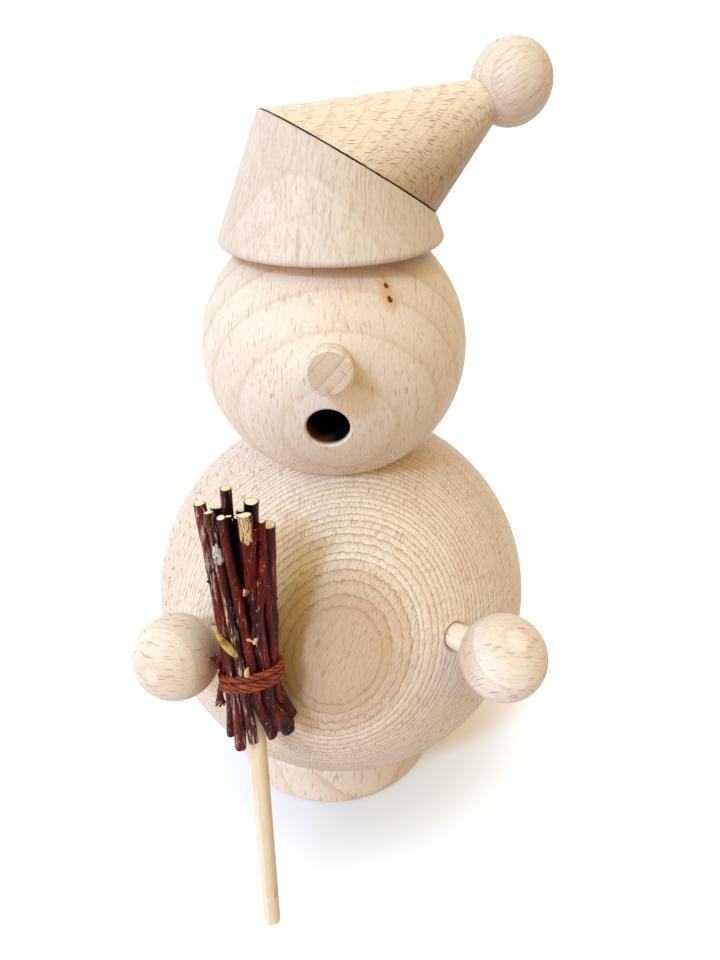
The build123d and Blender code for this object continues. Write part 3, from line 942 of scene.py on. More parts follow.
def tube(
    mesh: bmesh.types.BMesh, points: list[Vector], radii: list[float], sides: int, rim: float,
    materials: tuple[int, int],
) -> None:
    """Draws a closed tube along a line.

    Args:
        mesh: The mesh to add to.
        points: The points along its middle, in mm.
        radii: Its radius at each of them.
        sides: How many corners a ring has.
        rim: How wide the rims of its ends are, in mm.
        materials: Material numbers of its skin and of its cut ends.
    """
    skin, cut = materials
    places = [ring_place(*ring) for ring in zip(points, ways(points), radii)]
    for ring in sweep(mesh, places, sides, skin):
        cap(mesh, ring, rim, cut)


@dataclass
class Base:
    """The base disc and the tray for the incense cone."""

    middle: Triple = (-2.4, 0.0, 4.5)

    def dress(self) -> None:
        """Gives the base its beech and the tray its brass."""
        wood = Beech(
            "beech_base", Cut(self.middle, (0.06, 0.22, 0.97), (-0.3, 1.0, 0.0), heart=34.0, ring=2.3, along=40.0),
            pale=(239, 224, 211), fleck=(126, 90, 70), fleck_filled=0.4, fleck_length=4.4, fleck_width=0.18,
        )
        paint("base_disc", wood.material())
        paint("incense_tray", PressedBrass("pressed_brass").material())


@dataclass
class Figure:
    """The body and head balls with the neck sleeve and the nose."""

    body_middle: Triple = BODY_MIDDLE
    body_radius: float = BODY_RADIUS
    head_middle: Triple = (0.0, 0.0, 82.903)
    head_radius: float = 20.0
    nose_rise: float = 12.9
    mouth_drop: float = 4.4
    mouth_aside: float = -0.6
    mouth_radius: float = 3.0
    fibre_tilt: float = 20.0
    belly_rise: float = 19.4
    body_heart: float = 90.0
    head_heart: float = 110.0
    sleeve_middle: Triple = (0.0, 0.0, 66.9)
    nose_out: float = 22.0

    def body_cut(self) -> Cut:
        """Lays the body in a tree whose heart is before it, so that rings close on the belly.

        Returns:
            The cut of the body ball.
        """
        belly = heading(0.0, self.belly_rise)
        up_it = heading(180.0, 90.0 - self.belly_rise)
        tilt = math.radians(self.fibre_tilt)
        fibre = up_it * math.cos(tilt) + Vector((1.0, 0.0, 0.0)) * math.sin(tilt)
        first = self.body_heart - self.body_radius + 1.0
        return Cut(
            self.body_middle, tuple(fibre), tuple(belly), self.body_heart, ring=0.57, along=11.0, first=first,
            widen=0.0112,
        )

    def mouth_spot(self) -> Triple:
        """Gives the middle of the mouth's rim."""
        height = self.head_middle[2] - self.mouth_drop
        return (
            self.mouth_aside, -math.sqrt(self.head_radius**2 - self.mouth_drop**2 - self.mouth_radius**2), height
        )

    def dress(self) -> None:
        """Gives the balls, the sleeve and the nose their beech."""
        paint("body_ball", Beech(
            "beech_body", self.body_cut(), sway=0.22, uneven=1.3, ring_share=1.0, jagged=0.15, core=0.7,
            pale=(245, 236, 224), late=(184, 144, 102), fleck=(148, 104, 66), fleck_width=0.14, fleck_length=1.4,
            fleck_filled=0.95, fleck_share=0.7, thread_share=0.36,
        ).material())
        head_cut = Cut(
            self.head_middle, (0.02, -0.3, 1.0), (-0.03, 1.0, 0.3), self.head_heart, ring=4.0, along=64.0,
            first=self.head_heart + self.head_radius - 1.3,
        )
        paint("head_ball", Beech(
            "beech_head", head_cut, sway=0.8, uneven=0.6, ring_share=0.36, pale=(238, 226, 212),
            fleck_width=0.12, fleck_length=1.8, knots=(((7.27, -13.27, 95.98), 0.5), ((7.72, -14.37, 94.47), 0.58)),
            bore=Bore(self.mouth_spot(), self.mouth_radius, self.head_middle, self.head_radius),
        ).material())
        sleeve = Cut(self.sleeve_middle, (0.0, 0.0, 1.0), (0.4, 1.0, 0.0), heart=30.0, ring=1.8, along=20.0)
        paint("neck_sleeve", Beech("beech_sleeve", sleeve).material())
        along = heading(0.0, self.nose_rise)
        nose_end = tuple(along * self.nose_out + Vector(self.head_middle))
        nose_cut = Cut(nose_end, tuple(along), (-1.0, 0.2, 0.9), heart=36.0, ring=1.4, along=5.0)
        nose = Beech(
            "beech_nose", nose_cut, pale=(251, 243, 228), end=(204, 185, 174), ring_share=0.6, fleck_share=0.75,
        )
        paint("nose_dowel", nose.material())


@dataclass
class Hat:
    """The two hat parts, the pompom and the dowels inside."""

    tip: Triple = (21.438, 7.340, 115.649)
    pompom: Triple = (25.544, 8.745, 117.937)
    cut_spot: Triple = (0.0, 0.0, 110.645)
    cut_normal: Triple = (0.4887, 0.1673, 0.8563)
    cut_gap: float = 0.12
    upper_middle: Triple = (10.0, 3.4, 109.0)

    def dress(self) -> None:
        """Gives every piece of the hat its beech."""
        # The joint between the hat parts gets a thin line of painted shade.
        shaded_seam = (self.cut_spot, self.cut_normal, self.cut_gap)
        # The hat's upper part is drawn darker towards one lower side: painted shade, with some darker wood tone.
        tone_and_shade = ToneAndShade(self.upper_middle, (0.53, -0.39, -0.75), start=-0.5, full=8.0, colour=(204, 186, 162))
        lower = Cut((0.0, 0.0, 106.0), (0.0, 0.02, 1.0), (0.3, 0.95, 0.0), heart=60.0, ring=1.9, along=23.0)
        paint("hat_lower", Beech(
            "beech_hat_lower", lower, pale=(228, 215, 202), late=(194, 166, 142), end=(218, 200, 186),
            ring_share=0.16, fleck_share=0.4, fleck_width=0.11, fleck_length=9.0, fleck_filled=0.9,
            thread_share=0.55, thread_run=0.025, shaded_seam=shaded_seam,
        ).material())
        tip_way = (Vector(self.pompom) - Vector(self.tip)).normalized()
        upper = Cut(self.upper_middle, tuple(tip_way), (0.3, 0.1, -1.0), heart=42.0, ring=1.5, along=71.0)
        paint("hat_upper", Beech(
            "beech_hat_upper", upper, pale=(246, 237, 223), late=(206, 172, 126), fleck=(138, 90, 48),
            end=(234, 212, 182), fleck_share=0.8, fleck_length=2.2, fleck_width=0.11, fleck_depth=1.5,
            fleck_filled=1.0, ring_share=0.4, shaded_seam=shaded_seam, tone_and_shade=tone_and_shade,
        ).material())
        ball = Cut(self.pompom, (0.85, 0.15, 0.5), (0.2, -1.0, 0.3), heart=30.0, ring=1.5, along=90.0)
        paint("pompom_ball", Beech(
            "beech_pompom", ball, pale=(231, 221, 209), fleck_share=0.65, fleck_length=2.2, fleck_width=0.12,
            ring_share=0.5,
        ).material())
        upright = Cut((0.0, 0.0, 98.0), (0.0, 0.0, 1.0), (0.5, 1.0, 0.0), heart=30.0, ring=1.7, along=3.0)
        slanted = Cut((4.0, 1.5, 108.0), (0.49, 0.17, 0.86), (0.0, 1.0, 0.0), heart=30.0, ring=1.7, along=9.0)
        thin = Cut(self.tip, tuple(tip_way), (0.0, 1.0, 0.0), heart=30.0, ring=1.6, along=15.0)
        paint("hat_dowel", Beech("beech_hat_dowel", upright).material())
        paint("hat_bend_dowel", Beech("beech_bend_dowel", slanted).material())
        paint("pompom_dowel", Beech("beech_pompom_dowel", thin).material())


class Side(Enum):
    """The figure's own sides."""

    LEFT = "left"
    RIGHT = "right"


@dataclass
class Hand:
    """One hand ball and the peg that it turns on."""

    side: Side
    angle: float
    stand_off: float
    fibre: Triple
    to_heart: Triple
    along: float
    rise: float = 17.6
    body_middle: Triple = BODY_MIDDLE
    body_radius: float = BODY_RADIUS
    radius: float = 6.1

    def dress(self) -> None:
        """Gives the ball and its peg their beech."""
        out = heading(self.angle, self.rise)
        middle = Vector(self.body_middle) + out * (self.body_radius + self.stand_off + self.radius)
        ball = Cut(tuple(middle), self.fibre, self.to_heart, heart=26.0, ring=1.6, along=self.along)
        paint(f"{self.side.value}_hand_ball", Beech(f"beech_{self.side.value}_hand", ball, ring_share=0.28).material())
        peg = Cut(tuple(middle), tuple(out), (0.3, 0.4, 1.0), heart=30.0, ring=1.5, along=self.along)
        paint(f"{self.side.value}_hand_peg", Beech(
            f"beech_{self.side.value}_peg", peg, pale=(247, 235, 214), ring_share=0.2, fleck_share=0.3,
        ).material())


class Skin(IntEnum):
    """Places of a twig's finishes in its list of materials."""

    BARK = 0
    CUT = 1
    PEELED = 2
    BUD = 3


class BarkKind(Enum):
    """The kinds of bark in the bundle."""

    BROWN = "brown"
    SILVER = "silver"
    RED = "red"
    LICHEN = "lichen"
    PEELED = "peeled"


@dataclass(frozen=True)
class Twig:
    """One twig: its sizes and bends in mm, its bark, where it has knots, and whether it forks."""

    dia: float
    above: float
    below: float
    top_shift: float
    foot_shift: float
    bark: BarkKind
    knots: tuple[float, ...] = ()
    slant: float = 8.0
    fork: bool = False


@dataclass(frozen=True)
class Shoot:
    """A bud or a stub: its twig, the height that it leaves it at, and its run and thickness in mm."""

    twig: int
    up: float
    run: Triple
    dia: float
    bare: bool = False


@dataclass(frozen=True)
class Stray:
    """A thin twig across or inside the bundle: the twig it springs from, its way and its thickness in mm."""

    twig: int
    way: tuple[Triple, ...]
    dia: float


@dataclass(frozen=True)
class Bud:
    """A pale bud or broken end: the twig it belongs to, its place, its run and its thickness in mm."""

    twig: int
    place: Triple
    run: Triple
    dia: float


@dataclass
class Broom:
    """The broom: handle, twigs and the cord that ties them."""

    tie_middle: Triple = (-11.735, -34.083, 48.690)
    tie_inner: float = 3.909
    handle_lean: float = 8.3
    bundle_lean: float = 0.6
    twist: float = 0.017
    straight: float = 3.4
    spread_above: float = 0.008
    spread_below: float = 0.05
    foot_kick: float = 0.15
    ring_start: float = -11.0
    twig_gap: float = 0.1
    twigs: list[Twig] = field(default_factory=lambda: [
        Twig(2.0, 22.5, 8.4, 0.4, 0.6, BarkKind.BROWN, (8.4,), 10.0),
        Twig(1.0, 23.8, 4.4, 0.1, 0.1, BarkKind.RED, (), 12.0),
        Twig(1.9, 25.2, 8.8, -0.2, 0.8, BarkKind.PEELED, (14.2,), -6.0),
        Twig(1.3, 25.3, 8.5, -0.8, 0.3, BarkKind.BROWN, (12.6,), 8.0, fork=True),
        Twig(1.4, 25.4, 9.1, -0.6, -0.6, BarkKind.LICHEN, (19.8,), -9.0),
        Twig(1.6, 26.0, 10.6, -0.6, -0.7, BarkKind.SILVER, (10.4,), 7.0),
        Twig(1.3, 22.2, 9.2, -0.1, -0.5, BarkKind.BROWN, (12.0,), 6.0),
        Twig(1.6, 24.0, 10.0, 0.6, 0.0, BarkKind.BROWN, (15.0,), -8.0, fork=True),
        Twig(1.6, 26.2, 10.4, 0.3, 0.2, BarkKind.SILVER, (21.0,), 10.0),
        Twig(1.3, 22.8, 10.8, 0.2, 0.4, BarkKind.RED, (10.0,), -7.0),
        Twig(2.0, 24.4, 12.8, -0.2, 0.6, BarkKind.BROWN, (16.0,), 9.0),
        Twig(1.5, 21.6, 11.4, -0.2, 0.5, BarkKind.RED, (8.0,), -6.0, fork=True),
    ])
    shoots: list[Shoot] = field(default_factory=lambda: [
        Shoot(5, 5.0, (-2.2, -1.5, 4.6), 1.2, bare=True),
        Shoot(5, 19.4, (-0.3, -0.95, 0.5), 0.9),
        Shoot(6, 15.0, (-1.0, -0.3, 0.7), 0.6),
        Shoot(1, 11.0, (1.15, -0.3, 0.8), 0.7),
    ])
    strays: list[Stray] = field(default_factory=lambda: [
        Stray(1, ((3.3, -1.0, 22.4), (3.1, -3.2, 17.5), (2.6, -3.9, 12.4), (1.5, -4.2, 8.2)), 1.05),
        Stray(2, ((2.5, -2.3, 22.8), (2.2, -3.8, 19.0), (1.1, -4.0, 15.2)), 0.7),
        Stray(4, ((-1.1, -0.9, 23.4), (-0.9, -0.8, 14.0), (-0.4, -0.6, 7.0)), 1.5),
        Stray(8, ((0.9, 0.4, 22.6), (0.8, 0.3, 14.0), (0.4, 0.0, 7.0)), 1.7),
        Stray(12, ((0.7, -1.4, 24.2), (0.6, -1.3, 14.0), (0.2, -0.9, 7.0)), 1.9),
    ])
    buds: list[Bud] = field(default_factory=lambda: [
        Bud(2, (1.1, -4.0, 15.4), (-0.3, -0.3, -0.8), 0.8),
        Bud(2, (0.9, -4.1, 14.9), (0.45, -0.3, 0.55), 0.55),
        Bud(1, (1.6, -4.2, 8.6), (-0.05, -0.3, -1.0), 0.85),
        Bud(1, (1.4, -4.2, 8.0), (-0.8, -0.2, 0.3), 0.5),
        Bud(4, (0.1, -4.0, 2.4), (0.25, -0.3, 1.4), 0.75),
    ])
    fork_start: float = 9.0
    fork_dia: float = 1.15
    fork_reach: float = 1.0
    seed: int = 4
    drift: float = 0.24
    kink: float = 0.11
    knot_swell: float = 0.18
    knot_length: float = 0.9
    ridge: float = 0.08
    wrinkle: float = 0.04
    bark_rim: float = 0.13
    bow: float = 0.06
    ring_step: float = 0.5
    twig_sides: int = 16
    shoot_sides: int = 12
    cord_dia: float = 0.9
    cord_turns: int = 3
    cord_pitch: float = 0.88
    cord_path: float = 4.22
    cord_tilt: float = 17.3
    cord_tilt_turn: float = 23.0
    strands: int = 7
    strand_lay: float = 4.2
    strand_sides: int = 8
    cord_steps: int = 16
    fray: float = 1.4
    fray_length: float = 2.2
    cord_bend: float = 1.3
    tail_down: float = 3.2
    tail_up: float = 1.2
    tail_aside: float = 0.9

    def __post_init__(self) -> None:
        """Works out the bundle's own directions."""
        lean = math.radians(self.handle_lean)
        self.middle = Vector(self.tie_middle)
        self.handle_up = Vector((0.0, math.sin(lean), math.cos(lean)))
        self.up = Matrix.Rotation(-math.radians(self.bundle_lean), 3, "Y") @ self.handle_up
        self.right = Vector((0.0, 1.0, 0.0)).cross(self.up).normalized()
        self.back = self.up.cross(self.right)
        self.turn = Matrix((self.right, self.back, self.up))
        self.angles = self.ring_angles()

    def spot(self, right: float, back: float, up: float) -> Vector:
        """Gives a point along the bundle's own directions from the middle of the tie."""
        return self.middle + self.right * right + self.back * back + self.up * up

    def ring_angles(self) -> list[float]:
        """Sets the twigs round the inside of the tie, each a gap from the last.

        Returns:
            The angle of each twig, from the right and towards the front.
        """
        found = [math.radians(self.ring_start)]
        for here, there in zip(self.twigs, self.twigs[1:]):
            a = self.tie_inner - here.dia / 2
            b = self.tie_inner - there.dia / 2
            apart = (here.dia + there.dia) / 2 + self.twig_gap
            found.append(found[-1] + math.acos((a * a + b * b - apart * apart) / (2 * a * b)))
        return found

    def twig_spot(self, number: int, up: float, reach: float | None = None) -> Vector:
        """Gives a point of the twisted bundle, which bends out past the tie.

        Args:
            number: The twig's number.
            up: Height above the tie, in mm.
            reach: Distance from the bundle's middle, if not the twig's own.

        Returns:
            The point.
        """
        twig = self.twigs[number - 1]
        angle = self.angles[number - 1]
        out = self.tie_inner - twig.dia / 2 if reach is None else reach
        right = out * math.cos(angle)
        back = -out * math.sin(angle)
        over = max(0.0, up - self.straight)
        under = max(0.0, -up - self.straight)
        bend = right * (self.spread_above * over + self.spread_below * under) + self.foot_kick * under
        bend += twig.top_shift * over / (twig.above - self.straight)
        bend += twig.foot_shift * under / (twig.below - self.straight)
        return self.spot(right + self.twist * back * up + bend, back - self.twist * right * up, up)

    def barks(self) -> dict[BarkKind, bpy.types.Material]:
        """Makes the barks.

        Returns:
            The material of each kind.
        """
        ochre = Patch(tuple(self.twig_spot(3, 23.4) - self.back), 1.1, 2.0, (232, 206, 152), (158, 104, 52))
        lichen = Patch(tuple(self.twig_spot(5, 19.8) - self.back * 0.7), 0.75, 1.6, (222, 214, 200), (84, 50, 42))
        return {
            BarkKind.BROWN: Bark("bark_brown", self.turn, self.tie_middle).material(),
            BarkKind.SILVER: Bark("bark_silver", self.turn, self.tie_middle, peel_start=0.54, shift=40.0).material(),
            BarkKind.RED: Bark(
                "bark_red", self.turn, self.tie_middle, (44, 5, 3), (124, 17, 9), (176, 46, 24), peel_start=0.64,
                shift=80.0,
            ).material(),
            BarkKind.LICHEN: Bark(
                "bark_lichen", self.turn, self.tie_middle, (18, 5, 4), (84, 22, 16), (134, 66, 50), (214, 204, 188),
                0.54, 120.0, patch=lichen,
            ).material(),
            BarkKind.PEELED: Bark(
                "bark_peeled", self.turn, self.tie_middle, (20, 4, 3), (92, 17, 11), (150, 42, 26), (202, 172, 150),
                0.6, 160.0, patch=ochre,
            ).material(),
        }

    def wander(self, number: int, up: float) -> Vector:
        """Bends a twig a little away from its own line, but not at the tie.

        Args:
            number: The twig's number.
            up: Height above the tie, in mm.

        Returns:
            The small shift, in mm.
        """
        free = min(1.0, max(0.0, (abs(up) - self.straight) / 6.0))
        drift = noise.noise_vector(Vector((number * 7.3, up * 0.09, 2.0)))
        kink = noise.noise_vector(Vector((number * 3.1, up * 0.35, 9.0)))
        return (drift * self.drift + kink * self.kink) * free

    def thickness(self, number: int, up: float) -> float:
        """Gives a twig's radius at a height, swollen at its knots.

        Args:
            number: The twig's number.
            up: Height above the tie, in mm.

        Returns:
            The radius in mm.
        """
        twig = self.twigs[number - 1]
        swell = sum(self.knot_swell * math.exp(-((up - knot) / self.knot_length) ** 2) for knot in twig.knots)
        uneven = 0.06 * noise.noise(Vector((number * 5.7, up * 0.5, 4.0)))
        taper = 0.03 - 0.06 * (up + twig.below) / (twig.above + twig.below)
        return twig.dia / 2 * (1.0 + swell + uneven + taper)

    def stem(self, mesh: bmesh.types.BMesh, number: int) -> None:
        """Draws a twig's stem and closes it with two cut ends.

        Args:
            mesh: The mesh to add to.
            number: The twig's number.
        """
        twig = self.twigs[number - 1]
        count = int((twig.above + twig.below) / self.ring_step)
        heights = [-twig.below + (twig.above + twig.below) * step / count for step in range(count + 1)]
        line = [self.twig_spot(number, up) + self.wander(number, up) for up in heights]
        radii = [self.thickness(number, up) for up in heights]
        places = [ring_place(*ring) for ring in zip(line, ways(line), radii)]
        places[-1] = places[-1] @ Matrix.Rotation(math.radians(twig.slant), 4, "X")
        places[0] = places[0] @ Matrix.Rotation(math.radians(-0.8 * twig.slant), 4, "Y")
        ends = sweep(mesh, places, self.twig_sides)
        for vert in mesh.verts:
            own = vert.co - self.middle
            ridge = noise.noise(Vector((own.x * 1.6, own.y * 1.6, own.z * 0.22)) + Vector((number * 11.0, 0.0, 0.0)))
            wrinkle = noise.noise(Vector((own.x * 4.0, own.y * 4.0, own.z * 0.7)) + Vector((number * 5.0, 3.0, 0.0)))
            centre = line[min(count, max(0, round((own.dot(self.up) + twig.below) / self.ring_step)))]
            away = vert.co - centre
            away -= self.up * away.dot(self.up)
            if away.length > 0.0:
                vert.co += away.normalized() * (ridge * self.ridge + wrinkle * self.wrinkle)
        for ring in ends:
            cap(mesh, ring, self.bark_rim, Skin.CUT)

    def branch(
        self, mesh: bmesh.types.BMesh, start: Vector, end: Vector, radius: float, skin: Skin, taper: float = 0.25
    ) -> None:
        """Draws a short side shoot with a cut tip.

        Args:
            mesh: The mesh to add to.
            start: Where it leaves the twig.
            end: Its tip.
            radius: Its radius, in mm.
            skin: The finish of its sides.
            taper: Share of the radius that it loses on the way.
        """
        way = end - start
        count = max(4, int(way.length / self.ring_step))
        bow = way.cross(self.back).normalized() * self.bow * way.length
        places = []
        for step in range(count + 1):
            share = step / count
            point = start + way * share + bow * math.sin(math.pi * share)
            uneven = 1.0 + 0.12 * noise.noise(point * 0.8)
            places.append(ring_place(point, way.normalized(), radius * (1.1 - taper * share**1.5) * uneven))
        foot, tip = sweep(mesh, places, self.shoot_sides, skin)
        cap(mesh, foot, radius * 0.2, skin)
        cap(mesh, tip, radius * 0.1, skin or Skin.CUT)

    def stray(self, mesh: bmesh.types.BMesh, across: Stray) -> None:
        """Draws a thin twig that lies across the bundle or fills it inside.

        Args:
            mesh: The mesh to add to.
            across: The twig to draw.
        """
        line = smooth_line([self.spot(*point) for point in across.way], 10)
        radii = [across.dia / 2 * (1.0 + 0.2 * noise.noise(point * 0.9)) for point in line]
        tube(mesh, line, radii, self.shoot_sides, across.dia * 0.1, (Skin.BARK, Skin.CUT))

    def make_twig(self, number: int, finishes: list[bpy.types.Material]) -> None:
        """Makes one twig with its fork and its shoots, and puts it in its solid's place.

        Args:
            number: The twig's number.
            finishes: Its materials, in the order of Skin.
        """
        twig = self.twigs[number - 1]
        mesh = bmesh.new()
        self.stem(mesh, number)
        if twig.fork:
            end = self.twig_spot(number, twig.above - self.fork_dia, self.fork_reach)
            self.branch(mesh, self.twig_spot(number, self.fork_start), end, self.fork_dia / 2, Skin.BARK)
        for shoot in self.shoots:
            if shoot.twig == number:
                start = self.twig_spot(number, shoot.up) + self.wander(number, shoot.up)
                run = self.turn.transposed() @ Vector(shoot.run)
                self.branch(mesh, start, start + run, shoot.dia / 2, Skin.PEELED if shoot.bare else Skin.BARK, 0.75)
        for across in self.strays:
            if across.twig == number:
                self.stray(mesh, across)
        for bud in self.buds:
            if bud.twig == number:
                tip = Vector(bud.place) + Vector(bud.run)
                self.branch(mesh, self.spot(*bud.place), self.spot(*tip), bud.dia / 2, Skin.BUD, 0.6)
        made = settle(mesh, f"twig_{number:02d}", finishes, 50.0)
        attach(made, "right_hand")
        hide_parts(f"broom_twig_{number:02d}")
        LOG.info("made %s", made.name)

    def left_rise(self) -> float:
        """Gives how far the tilted turns stand above the tie's middle at their left."""
        slope = math.tan(math.radians(self.cord_tilt)) * self.cord_path
        return slope * math.cos(math.radians(90.0 + self.cord_tilt_turn))

    def cord_route(self) -> list[Vector]:
        """Gives the points that steer the tying cord: a tail, the tilted turns and a tail.

        Returns:
            The points in mm.
        """
        steps = self.cord_steps
        points = []
        slope = math.tan(math.radians(self.cord_tilt)) * self.cord_path
        highest = math.radians(90.0 + self.cord_tilt_turn)
        low = -self.cord_turns / 2 * self.cord_pitch
        high = -low
        for drop in (self.cord_bend + self.tail_down, self.cord_bend + self.tail_down * 0.5, self.cord_bend * 0.7):
            back = self.cord_bend * min(1.0, drop)
            aside = self.tail_aside * min(1.0, drop / 2)
            points.append(self.spot(-self.cord_path - aside, back, low + self.left_rise() - drop))
        for step in range(1, self.cord_turns * steps):
            turned = 2.0 * math.pi * step / steps
            share = step / (self.cord_turns * steps)
            up = low + (high - low) * share + slope * math.cos(turned - highest)
            up += 0.1 * math.sin(turned * 0.5 + 0.8)
            points.append(self.spot(-self.cord_path * math.cos(turned), -self.cord_path * math.sin(turned), up))
        for rise in (self.cord_bend * 0.7, self.cord_bend + self.tail_up * 0.5, self.cord_bend + self.tail_up):
            back = -self.cord_bend * min(1.0, rise)
            points.append(self.spot(-self.cord_path - 0.1 * rise, back, high + self.left_rise() + rise))
        return points

    def strand_line(self, line: list[Vector], number: int, lay: float) -> list[Vector]:
        """Winds one strand round the cord's line, spread out where the ends fray.

        Args:
            line: The points along the cord.
            number: The strand's number.
            lay: Its distance from the cord's middle, in mm.

        Returns:
            The points along the strand.
        """
        length = sum((b - a).length for a, b in zip(line, line[1:]))
        walked = 0.0
        points = []
        for index, (point, way) in enumerate(zip(line, ways(line))):
            walked += (point - line[index - 1]).length if index else 0.0
            out = point - self.middle
            out = (out - way * out.dot(way)).normalized()
            phase = 2.0 * math.pi * (walked / self.strand_lay + number / self.strands)
            left = min(walked, length - walked)
            loose = 1.0 + self.fray * max(0.0, 1.0 - left / self.fray_length) ** 2
            points.append(point + (out * math.cos(phase) + way.cross(out) * math.sin(phase)) * lay * loose)
        return points

    def make_cord(self, finishes: list[bpy.types.Material]) -> None:
        """Lays the cord's strands round its line and puts it in the tie's place.

        Args:
            finishes: The tones that its strands take in turn.
        """
        line = smooth_line(self.cord_route(), 6)
        mesh = bmesh.new()
        strand = self.cord_dia / 2 / (1.0 + 1.0 / math.sin(math.pi / self.strands)) * 1.12
        lay = self.cord_dia / 2 - strand
        for number in range(self.strands):
            points = self.strand_line(line, number, lay)
            tone = number % len(finishes)
            tube(mesh, points, [strand] * len(points), self.strand_sides, strand * 0.3, (tone, tone))
        # Strands take the tones in turn; the tails take the darker tone all over, as painted shade.
        for face in mesh.faces:
            own = self.turn @ (face.calc_center_median() - self.middle)
            if own.x < 0.4 - self.cord_path and abs(own.z - self.left_rise()) > self.cord_turns / 2 * self.cord_pitch:
                face.material_index = 1
        made = settle(mesh, "tying_cord", finishes, 60.0)
        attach(made, "right_hand")
        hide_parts("broom_tie")
        LOG.info("made %s", made.name)

    def build(self) -> None:
        """Makes the twigs and the cord, and dresses the handle."""
        noise.seed_set(self.seed)
        barks = self.barks()
        cut = CutWood("twig_cut", self.turn).material()
        peeled = CutWood("twig_peeled", self.turn, (214, 180, 96), (104, 60, 24), 0.46).material()
        bud = CutWood("twig_bud", self.turn, (226, 178, 128), (128, 68, 34), 0.44).material()
        for number, twig in enumerate(self.twigs, start=1):
            self.make_twig(number, [barks[twig.bark], cut, peeled, bud])
        self.make_cord([
            Cord("cord_light").material(), Cord("cord_dark_and_shade", (34, 6, 2), (90, 21, 8), (146, 50, 20)).material(),
        ])
        stick_middle = tuple(self.middle - self.handle_up * 24.0)
        stick = Cut(stick_middle, tuple(self.handle_up), (0.6, 0.8, 0.0), heart=24.0, ring=1.1, along=33.0)
        paint("broom_handle", Beech(
            "beech_handle", stick, pale=(241, 229, 205), late=(216, 188, 146), fleck=(182, 142, 96),
            fleck_length=7.0, fleck_width=0.36, fleck_share=0.4, ring_share=0.5,
        ).material())


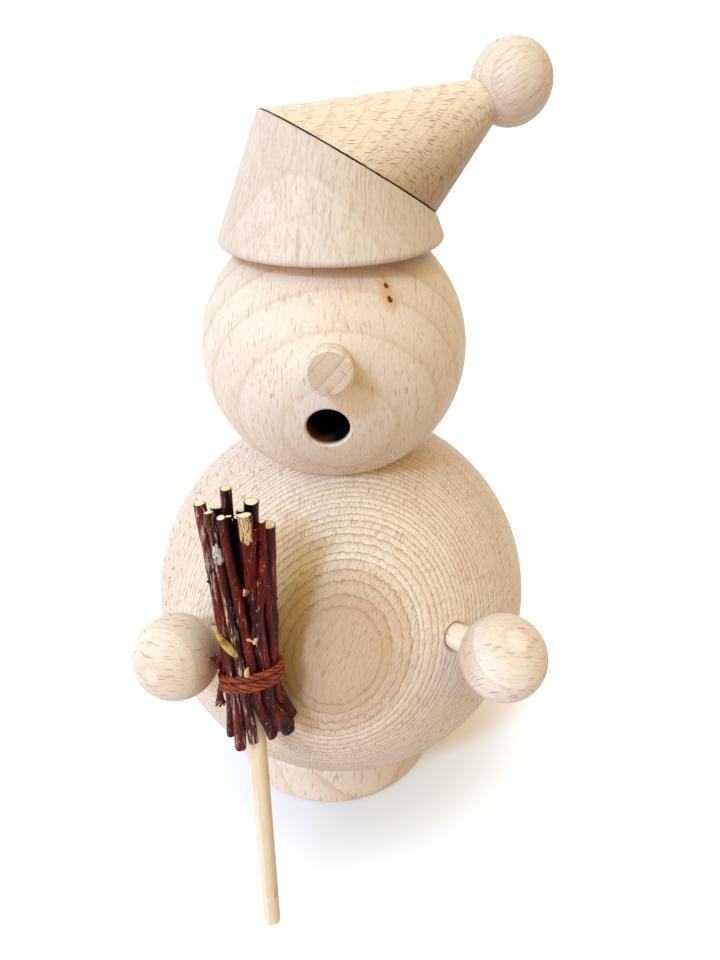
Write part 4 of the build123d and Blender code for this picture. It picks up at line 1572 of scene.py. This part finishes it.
@dataclass
class Studio:
    """Floor, light and camera."""

    camera_spot: Triple = (3.581, -108.628, 123.357)
    look_down: float = 30.679
    roll: float = -0.855
    lens: float = 27.825
    floor_size: float = 6.0
    behind: Triple = (1.06, 1.06, 1.06)
    front_left: Triple = (0.54, 0.34, 0.10)
    front_right: Triple = (0.42, 0.27, 0.03)
    below_left: Triple = (0.86, 0.80, 0.76)
    below_right: Triple = (0.50, 0.46, 0.44)

    def floor(self) -> None:
        """Lays the white sheet, which throws no light back up: the room's own light from below does."""
        mesh = bmesh.new()
        bmesh.ops.create_grid(mesh, x_segments=1, y_segments=1, size=self.floor_size / MM)
        made = settle(mesh, "floor_sheet", [WhitePaper("white_paper").material()], 30.0)
        made.visible_diffuse = False

    def sun(
        self, name: str, turn: float, rise: float, strength: Triple, spread: float, passes: str | None = None,
    ) -> None:
        """Sets up one soft, distant light.

        Args:
            name: Its name.
            turn: Degrees round from the front, towards the figure's left.
            rise: Degrees above the level.
            strength: Its strength in red, green and blue.
            spread: How wide it looks, in degrees, which softens its shadows.
            passes: A node that throws no shadow in this light, if there is one.
        """
        light = bpy.data.lights.new(name, "SUN")
        light.energy = max(strength)
        light.angle = math.radians(spread)
        light.color = [part / max(strength) for part in strength]
        made = bpy.data.objects.new(name, light)
        made.rotation_euler = heading(turn, rise).to_track_quat("Z", "Y").to_euler()
        bpy.context.scene.collection.objects.link(made)
        if passes:
            blockers = bpy.data.collections.new(f"{name}_passes")
            blockers.objects.link(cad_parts[passes])
            blockers.collection_objects[0].light_linking.link_state = "EXCLUDE"
            made.light_linking.blocker_collection = blockers

    def room(self) -> None:
        """Surrounds the scene with a room: white to look at and behind, warmer light from the front and from below."""
        world = bpy.data.worlds.new("white_room")
        world.use_nodes = True
        nodes = Nodes(world.node_tree)
        way = nodes.node("ShaderNodeTexCoord", {}).outputs["Generated"]
        parts = nodes.node("ShaderNodeSeparateXYZ", {"Vector": way})
        to_right = nodes.between(parts.outputs[0], -0.8, 0.8)
        to_back = nodes.between(parts.outputs[1], -0.2, 0.75)
        to_below = nodes.between(parts.outputs[2], 0.0, -0.3)
        colour = nodes.mix(to_right, (*self.front_left, 1.0), (*self.front_right, 1.0))
        colour = nodes.mix(to_back, colour, (*self.behind, 1.0))
        below = nodes.mix(to_right, (*self.below_left, 1.0), (*self.below_right, 1.0))
        colour = nodes.mix(to_below, colour, below)
        seen = nodes.node("ShaderNodeLightPath", {}).outputs["Is Camera Ray"]
        colour = nodes.mix(seen, colour, (*self.behind, 1.0))
        nodes.feed(world.node_tree.nodes["Background"].inputs["Color"], colour)
        bpy.context.scene.world = world

    def camera(self) -> None:
        """Puts the camera where the photograph was taken from."""
        lens = bpy.data.cameras.new("camera")
        lens.lens = self.lens
        lens.sensor_width = 36.0
        lens.clip_start = 0.005
        made = bpy.data.objects.new("camera", lens)
        tilt = Matrix.Rotation(math.radians(90.0 - self.look_down), 4, "X")
        made.matrix_world = (
            Matrix.Translation(Vector(self.camera_spot) * MM) @ tilt @ Matrix.Rotation(math.radians(self.roll), 4, "Z")
        )
        bpy.context.scene.collection.objects.link(made)
        bpy.context.scene.camera = made

    def build(self) -> None:
        """Sets the scene up with a window on the left and a weaker, warm light on the right."""
        self.floor()
        self.sun("window_light", turn=-50.0, rise=49.0, strength=(0.52, 0.76, 1.04), spread=42.0)
        self.sun("low_light", turn=-42.0, rise=20.0, strength=(0.85, 0.84, 0.95), spread=40.0)
        self.sun("lamp_light", turn=-33.0, rise=41.0, strength=(0.56, 0.98, 1.46), spread=7.0, passes="broom_handle")
        self.sun("room_light", turn=48.0, rise=60.0, strength=(0.78, 0.64, 0.24), spread=60.0)
        self.room()
        self.camera()
        bpy.context.scene.view_settings.view_transform = "Standard"


def main() -> None:
    """Builds and dresses the smoker piece by piece."""
    logging.basicConfig(level=logging.INFO, format="%(name)s: %(message)s")
    Studio().build()
    Base().dress()
    Figure().dress()
    Hat().dress()
    Hand(
        Side.LEFT, angle=35.1, stand_off=3.5, fibre=(1.0, 0.1, -0.12), to_heart=(0.1, 0.45, -0.88), along=12.0
    ).dress()
    Hand(
        Side.RIGHT, angle=-36.0, stand_off=1.8, fibre=(1.0, -0.35, 0.05), to_heart=(0.3, 1.0, -0.3), along=55.0
    ).dress()
    Broom().build()


if __name__ == "__main__":
    main()
